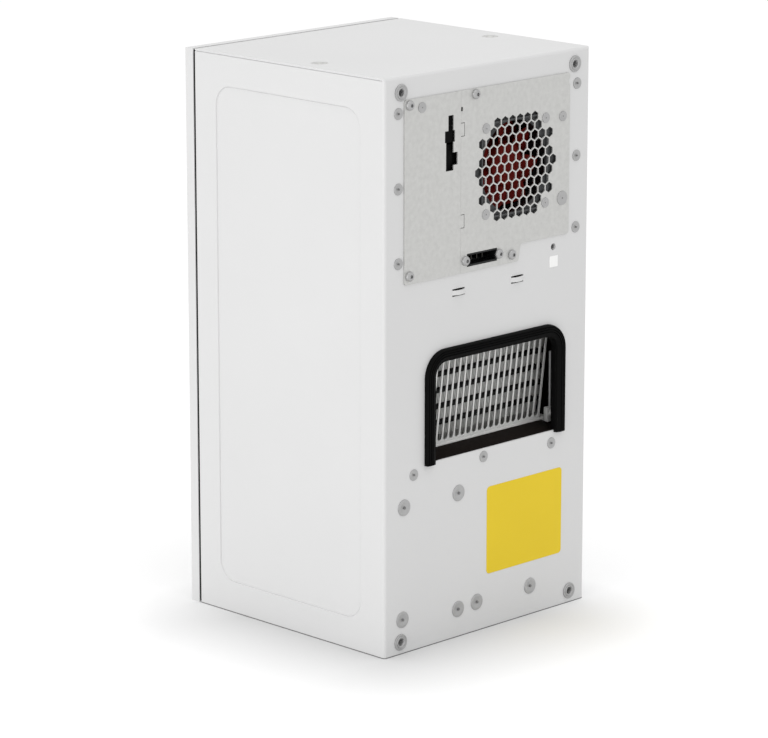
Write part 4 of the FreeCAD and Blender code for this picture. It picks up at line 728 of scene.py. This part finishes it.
boxes = solids("lifting_inserts")
places = [((low.x + high.x) / 2.0, (low.y + high.y) / 2.0, high.z) for low, high in boxes]
inserts = smooth(copy_to(lifting_insert(), places))
give(inserts, "lifting_thread_inserts", galvanised, replaced=["lifting_inserts"])


def earth_insert():
    """Press nut of the earth screw: a six-sided body, and a flush collar with a threaded bore."""
    foot = -9.5
    step = -2.0
    body = turned([(2.6, foot), (5.8, foot), (5.8, -1.5), (2.6, -1.5), (2.6, foot)], sides=6)
    profile = [(3.4, step), (3.4, -0.1), (3.3, 0.0), (3.1, 0.0)] + thread(M6_BORE, -1.2, foot, M6_PITCH)
    collar = turned(profile + [(2.5, foot), (2.7, foot), (2.7, step), (3.4, step)])
    return join([collar, body])


earth = put(earth_insert(), middles("earth_nut", REAR)[0])
give(smooth(earth), "earth_press_nut", zinc, replaced=["earth_nut"])


# Rubber edge of the outlet


def outlet_rubber():
    """Ridged rubber profile, extruded up one leg, spun round both corners and extruded down the other."""
    low, high = corners("outlet_edge_seal")
    lip = 8.0 * MM
    corner = 18.0 * MM + lip
    crest = high.y - REAR
    width = high.x - low.x
    # Cross-section from the outer foot over four ridges to the groove that grips the sheet: millimetres from
    # the outer edge, and height as a share of the crest
    section = [
        (0.0, 0.0), (0.2, 0.5), (0.8, 0.84), (1.7, 0.9), (2.1, 0.72), (2.5, 0.74), (2.9, 0.94), (3.9, 0.97),
        (4.3, 0.76), (4.7, 0.76), (5.1, 0.98), (6.2, 1.0), (6.6, 0.8), (7.0, 0.8), (7.4, 1.0), (8.6, 0.92),
        (11.8, 0.7), (12.7, 0.2), (12.7, -0.3), (12.5, -0.85), (5.2, -0.85), (5.0, -0.35), (7.9, -0.32),
        (7.9, 0.0),
    ]
    outline([(high.x - across * MM, REAR + level * crest, low.z) for across, level in section])
    push(0, 0, high.z - corner - low.z)
    for side in (1.0, -1.0):
        x = (low.x + high.x) / 2.0 + side * (width / 2.0 - corner)
        bpy.ops.mesh.spin(steps=12, angle=QUARTER, center=(x, 0, high.z - corner), axis=(0, 1, 0))
        if side > 0:
            push(2.0 * corner - width, 0, 0)
    push(0, 0, low.z - high.z + corner)
    bpy.ops.mesh.select_all(action="DESELECT")
    bpy.ops.mesh.select_non_manifold()
    bpy.ops.mesh.edge_face_add()
    tidy_mesh()
    return settle()


seal = outlet_rubber()
give(smooth(seal, 30.0), "outlet_rubber_edge", epdm, replaced=["outlet_edge_seal"])


# Coil in the outlet

# The coil leans about the lower front edge of its fins; rows of its tubes as depth and height from there
LEAN = math.radians(6.7)
COIL = Vector((0, 102.5, 193.0)) * MM
COIL_HEIGHT = 92.8 * MM
TUBE_ROWS = [(-4.6 * MM, (13.0 + 16.6 * row) * MM) for row in range(4)]
FIN_ENDS = (-104.2 * MM, 73.2 * MM)
HEADERS = (-105.6 * MM, 82.8 * MM)


def at_coil(piece):
    """Leans a piece that was made about the lower front edge of the coil, and puts it there."""
    return put(piece, COIL, (-LEAN, 0, 0))


def fin(depth, hole):
    """Thin fin behind the origin, with a hemmed front edge and a hole for each tube."""
    half = 0.15 * MM
    bend = 0.4 * MM
    hem = 0.8 * MM
    reach = 4.0 * MM
    sheet = block((-half, -depth, 0), (half, -bend - hem, COIL_HEIGHT))
    pick(sheet, faces=lambda middle, normal: normal.y > ALONG)
    push(0, bend, 0)
    # The hem is two sheets thick
    bpy.ops.transform.resize(value=(2.0, 1.0, 1.0))
    push(0, hem, 0)
    settle()
    drills = [
        bar(sides=10, radius=hole, length=reach, place=(0, y, z), turn=(0, QUARTER, 0)) for y, z in TUBE_ROWS
    ]
    return cut(sheet, join(drills))


def fin_pack():
    """Fins side by side, a little behind the fronts of the tubes."""
    low, high = FIN_ENDS
    back = -5.1 * MM
    spacing = 2.0 * MM
    count = round((high - low) / spacing)
    pitch = (high - low) / count
    places = [(low + pitch * index, back, 0) for index in range(count + 1)]
    return at_coil(copy_to(fin(depth=25.0 * MM, hole=2.9 * MM), places))


def tubes():
    """Straight tubes with a collar at each end."""
    length = (HEADERS[1] - HEADERS[0]) / MM
    tube, collar = 2.8, 3.3
    shoulder, neck = 8.5, 9.2
    model = turned([
        (0.0, 0.0), (collar, 0.0), (collar, shoulder), (tube, neck),
        (tube, length - neck), (collar, length - shoulder), (collar, length), (0.0, length),
    ], sides=20)
    put(model, (0, 0, 0), (0, 0, -QUARTER))
    return at_coil(copy_to(model, [(HEADERS[0], y, z) for y, z in TUBE_ROWS]))


def headers():
    """Box headers with rounded edges at the ends of the tubes, behind the fronts of the fins."""
    half = 5.5 * MM
    back, front = -16.5 * MM, -5.5 * MM
    foot = 8.0 * MM
    model = block((-half, back, foot), (half, front, COIL_HEIGHT))
    soften(model, width=2.0 * MM, segments=4)
    return at_coil(copy_to(model, [(x, 0, 0) for x in HEADERS]))


def guard():
    """Slotted sheet in front of the coil, with round feet to its slots."""
    first, pitch, count = -99.4, 8.0, 22
    half = 2.9 * MM
    margin = 5.5 * MM
    band = 4.0 * MM
    reach = 4.0 * MM
    back, front = 1.5 * MM, 2.5 * MM
    sheet_foot, slot_foot = -10.0 * MM, -3.3 * MM
    places = [(first + pitch * index) * MM for index in range(count)]
    low = (places[0] - margin, back, sheet_foot)
    sheet = block(low, (places[-1] + margin, front, COIL_HEIGHT))
    slot = block((-half, 0, slot_foot), (half, reach, COIL_HEIGHT - band))
    # A hair less than half the width, so that the two rounds of a foot don't meet
    corner = half * 0.98
    round_edges(slot, corner, segments=6, test=lambda middle, along: abs(along.y) > ALONG and middle.z < 0)
    cut(sheet, copy_to(slot, [(x, 0, 0) for x in places]))
    return at_coil(soften(sheet, width=0.2 * MM, segments=2, angle=40.0))


def tray():
    """Drip tray with a hollow and soft edges."""
    low, high = corners("drip_tray")
    wall = 4.0 * MM
    front = 105.0 * MM
    rim = 187.0 * MM
    pan = block(low, (high.x, front, rim))
    pick(pan, faces=lambda middle, normal: normal.z > ALONG)
    bpy.ops.mesh.inset(thickness=wall, depth=0)
    push(0, 0, low.z + wall - rim)
    settle()
    return soften(pan, width=1.5 * MM, segments=4, angle=40.0)


give(fin_pack(), "evaporator_fin_pack", fin_stock, replaced=["evaporator_fins"])
give(smooth(tubes()), "evaporator_tube_rows", near_black_tube, replaced=["evaporator_tubes"])
give(smooth(headers()), "evaporator_headers", fin_stock)
tray_and_guard = smooth(join([tray(), guard()]))
give(tray_and_guard, "drip_tray_and_guard", tray_abs, replaced=["drip_tray"])


def outlet_pad():
    """Foam pad on the floor of the outlet, which rises towards the tray and has soft edges."""
    low, high = corners("outlet_foam")
    middle = (low + high) / 2.0
    rise = 3.8 * MM
    pad = block(low, high)
    pick(pad, edges=lambda place, along: abs(along.x) > ALONG and place.y < middle.y and place.z > middle.z)
    bpy.ops.transform.translate(value=(0, 0, rise))
    settle()
    return soften(pad, width=0.8 * MM, segments=3)


give(smooth(outlet_pad()), "outlet_foam_pad", foam_and_painted_shade, replaced=["outlet_foam"])


def painted_shade_lining():
    """Dark foam sheet on the wall beside the coil, painted shade for that corner, from the foot of the tray
    up to the baffle.
    """
    gap = 0.3 * MM
    thick = 4.0 * MM
    side, back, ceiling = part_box("air_baffle")[0]
    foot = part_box("drip_tray")[0][2]
    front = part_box("outlet_foam")[1][1]
    lining = block((side, back, foot + gap), (side + thick, front, ceiling - gap))
    return soften(lining, width=1.2 * MM, segments=3)


give(smooth(painted_shade_lining()), "side_painted_shade_lining", foam_and_painted_shade)


def sensor_holder():
    """Moulded clip of the sensor with a round stud."""
    low, high = corners("sensor_clip")
    aside, above = 2.5 * MM, 1.5 * MM
    clip = soften(block(low, high), width=1.2 * MM, segments=3)
    stud = turned([
        (0.0, -1.0), (3.4, -1.0), (3.4, 1.2), (2.9, 1.8), (1.4, 1.8), (1.2, 1.4), (0.0, 1.4),
    ], sides=32)
    put(stud, ((low.x + high.x) / 2.0 + aside, high.y, (low.z + high.z) / 2.0 + above))
    return join([clip, stud])


give(smooth(sensor_holder()), "sensor_holder", tray_abs, replaced=["sensor_clip"])


# Fan behind the honeycomb


def fan_flange():
    """Flange on the face of the fan frame, as wide as the honeycomb, with round corners and a round hole."""
    low, high = corners("evaporator_fan_frame")
    x, z = (low.x + high.x) / 2.0, (low.z + high.z) / 2.0
    half = 57.0 * MM
    thick = 1.0 * MM
    hole = 44.3 * MM
    corner = 6.0 * MM
    reach = 6.0 * MM
    sheet = block((x - half, high.y, z - half), (x + half, high.y + thick, z + half))
    round_edges(sheet, corner, segments=6, test=lambda middle, along: abs(along.y) > ALONG)
    return cut(sheet, bar(sides=72, radius=hole, length=reach, place=(x, high.y, z), turn=(QUARTER, 0, 0)))


give(smooth(fan_flange()), "fan_flange", grey_pbt)


def blade(root, tip, depth):
    """Wide fan blade about the Y axis: a sheet widened, twisted and swept row by row, then thickened."""
    rows = 6
    near = 0.2 * MM
    thick = 1.4 * MM
    chord = 1.03 * (root + tip) / 2.0
    # Width as a share of the chord and slope in degrees, each at the root and at the tip; sweep at the tip
    root_width, tip_width = 0.8, 1.3
    root_slope, tip_slope = 36.0, 25.0
    tip_sweep = 16.0
    deselect()
    bpy.ops.mesh.primitive_grid_add(x_subdivisions=8, y_subdivisions=rows, size=1.0)
    sheet = bpy.context.object
    sheet.scale = (chord, tip - root, 1.0)
    put(sheet, (0, 0, (root + tip) / 2.0), (QUARTER, 0, 0))
    for row in range(rows + 1):
        share = row / rows
        level = root + (tip - root) * share
        pick(sheet, edges=lambda middle, along: abs(middle.z - level) < near and abs(along.z) < 1.0 - ALONG)
        widen = root_width + (tip_width - root_width) * share
        bpy.ops.transform.resize(value=(widen, 1.0, 1.0), center_override=(0, 0, level))
        slope = math.radians(root_slope + (tip_slope - root_slope) * share)
        bpy.ops.transform.rotate(value=-slope, orient_axis="Z", center_override=(0, 0, level))
        sweep = math.radians(tip_sweep) * share ** 1.5
        bpy.ops.transform.rotate(value=sweep, orient_axis="Y", center_override=(0, 0, 0))
        bpy.ops.object.mode_set(mode="OBJECT")
    modify(sheet, "SOLIDIFY", thickness=thick, offset=0.0)
    modify(sheet, "SUBSURF", levels=1, render_levels=1)
    # The corners of the tip are trimmed to the circle that runs free in the frame
    circle = bar(sides=72, radius=tip, length=4.0 * depth, place=(0, 0, 0), turn=(QUARTER, 0, 0))
    return cut(sheet, circle, operation="INTERSECT")


def fan_rotor(node, blades):
    """Hub with a domed face, a thin web and wide blades at its front, at the place of the CAD rotor."""
    low, high = corners(node)
    axis = ((low.x + high.x) / 2.0, (low.y + high.y) / 2.0, (low.z + high.z) / 2.0)
    # Lengths of the rotor in millimetres; the blades run a little short of the CAD rotor
    tip = (high.z - low.z) / 2.0 / MM - 0.2
    half = (high.y - low.y) / 2.0 / MM
    root, wall, rim = 20.3, 21.0, tip - 0.5
    face, dish, inside, foot = half - 0.2, half - 1.0, half - 4.0, -half + 0.5
    web, back = half - 17.0, half - 18.2
    seat = half - 9.5
    hub = turned([
        (0.0, dish), (12.0, dish), (13.0, face), (18.5, face), (20.4, half - 1.2), (wall, half - 3.0),
        (wall, web), (rim, web), (rim, back), (wall, back), (wall, foot), (19.6, foot), (19.4, inside),
        (0.0, inside),
    ])
    places = [(0, seat * MM, 0)] * blades
    turns = [2.0 * math.pi * index / blades for index in range(blades)]
    vanes = copy_to(blade(root * MM, tip * MM, half * MM), places, turns)
    return put(join([hub, vanes]), axis)


rotor = smooth(fan_rotor("evaporator_fan_rotor", blades=7))
give(rotor, "evaporator_rotor_blades", red_pbt, "evaporator_rotor", ["evaporator_fan_rotor"])


# Marks on the keys, in millimetres: a print that starts in the face of the key and stands out a hair

PRINT_FOOT, PRINT_FACE = 0.03, -0.05


def arrow(node, up):
    """Triangle printed on a key."""
    low, high = corners(node)
    x, z = (low.x + high.x) / 2.0, (low.z + high.z) / 2.0
    foot = low.y + PRINT_FOOT * MM
    triangle = [(-2.4, -1.7), (2.4, -1.7), (0.0, 2.1)]
    points = [(x + across * MM, foot, z + up * rise * MM) for across, rise in triangle]
    return slab(points, 0, (PRINT_FACE - PRINT_FOOT) * MM, 0)


def ring(node):
    """Ring printed on a key."""
    low, high = corners(node)
    inner, outer = 1.5, 2.3
    foot = (inner, PRINT_FOOT)
    mark = turned([foot, (outer, PRINT_FOOT), (outer, PRINT_FACE), (inner, PRINT_FACE), foot], sides=32)
    return put(mark, ((low.x + high.x) / 2.0, low.y, (low.z + high.z) / 2.0))


give(ring("key_set"), "set_mark", key_print, "set_key")
give(arrow("key_down", up=-1.0), "down_mark", key_print, "down_key")
give(arrow("key_up", up=1.0), "up_mark", key_print, "up_key")


# Stickers


def sticker(low, high, corner):
    """Film with rounded corners and a soft edge, laid on the rear wall."""
    thick = 0.25 * MM
    edge, rise = 0.3 * MM, 0.05 * MM
    film = block((low[0], REAR, low[1]), (high[0], REAR + thick, high[1]))
    round_edges(film, corner, segments=6, test=lambda middle, along: abs(along.y) > ALONG)
    pick(film, faces=lambda middle, normal: normal.y > ALONG)
    bpy.ops.mesh.inset(thickness=edge, depth=rise)
    return settle()


# The stickers' corners are measured from the near side and the top of the cabinet
low, high = (HALF - 246.0 * MM, TOP - 500.5 * MM), (HALF - 139.5 * MM, TOP - 413.0 * MM)
give(sticker(low, high, corner=4.0 * MM), "yellow_film", vinyl)
low, high = (HALF - 237.0 * MM, TOP - 210.0 * MM), (HALF - 225.5 * MM, TOP - 199.0 * MM)
give(sticker(low, high, corner=0.6 * MM), "white_film", paper)


# Floor, light and camera

deselect()
bpy.ops.mesh.primitive_plane_add(size=40.0, location=(0, 0, 0))
floor = bpy.context.object
floor.name = "studio_floor"
floor.data.materials.append(floor_paint)

world = bpy.data.worlds.new("studio")
bpy.context.scene.world = world
world.use_nodes = True
world.node_tree.nodes["Background"].inputs["Color"].default_value = (1.0, 1.0, 1.0, 1.0)
world.node_tree.nodes["Background"].inputs["Strength"].default_value = 1.05


def softbox(name, place, aim, size, power):
    """Square studio light that points at a place."""
    lamp = bpy.data.lights.new(name, "AREA")
    lamp.size = size
    lamp.energy = power
    body = bpy.data.objects.new(name, lamp)
    bpy.context.collection.objects.link(body)
    body.location = place
    body.rotation_euler = (Vector(aim) - Vector(place)).to_track_quat("-Z", "Y").to_euler()


softbox("side_light", place=(3.4, 0.3, 0.4), aim=(0, 0, 0.3), size=0.8, power=26.0)
softbox("top_light", place=(0.4, 0.4, 3.6), aim=(0, 0, 0.3), size=2.4, power=18.0)

# View fitted to the photograph's outline; focal length and image width in pixels
AZIMUTH = math.radians(135.012)
ELEVATION = math.radians(13.747)
DISTANCE = 3718.6 * MM
AIM_HEIGHT = 235.5 * MM
AIM_SIDE = -3.26 * MM
AIM_DEPTH = -2.5 * MM
FOCUS = 3785.7
IMAGE_WIDTH = 768.0
SENSOR_WIDTH = 36.0

camera = bpy.data.objects.new("photo_view", bpy.data.cameras.new("photo_view"))
bpy.context.collection.objects.link(camera)
right = Vector((math.cos(AZIMUTH), math.sin(AZIMUTH), 0))
level = math.cos(ELEVATION)
back = Vector((math.sin(AZIMUTH) * level, -math.cos(AZIMUTH) * level, math.sin(ELEVATION)))
aim = right * AIM_SIDE + Vector((0, AIM_DEPTH, AIM_HEIGHT))
camera.location = aim + back * DISTANCE
camera.rotation_euler = (-back).to_track_quat("-Z", "Y").to_euler()
camera.data.sensor_width = SENSOR_WIDTH
camera.data.lens = FOCUS * SENSOR_WIDTH / IMAGE_WIDTH
bpy.context.scene.camera = camera
bpy.context.scene.view_settings.view_transform = "Standard"
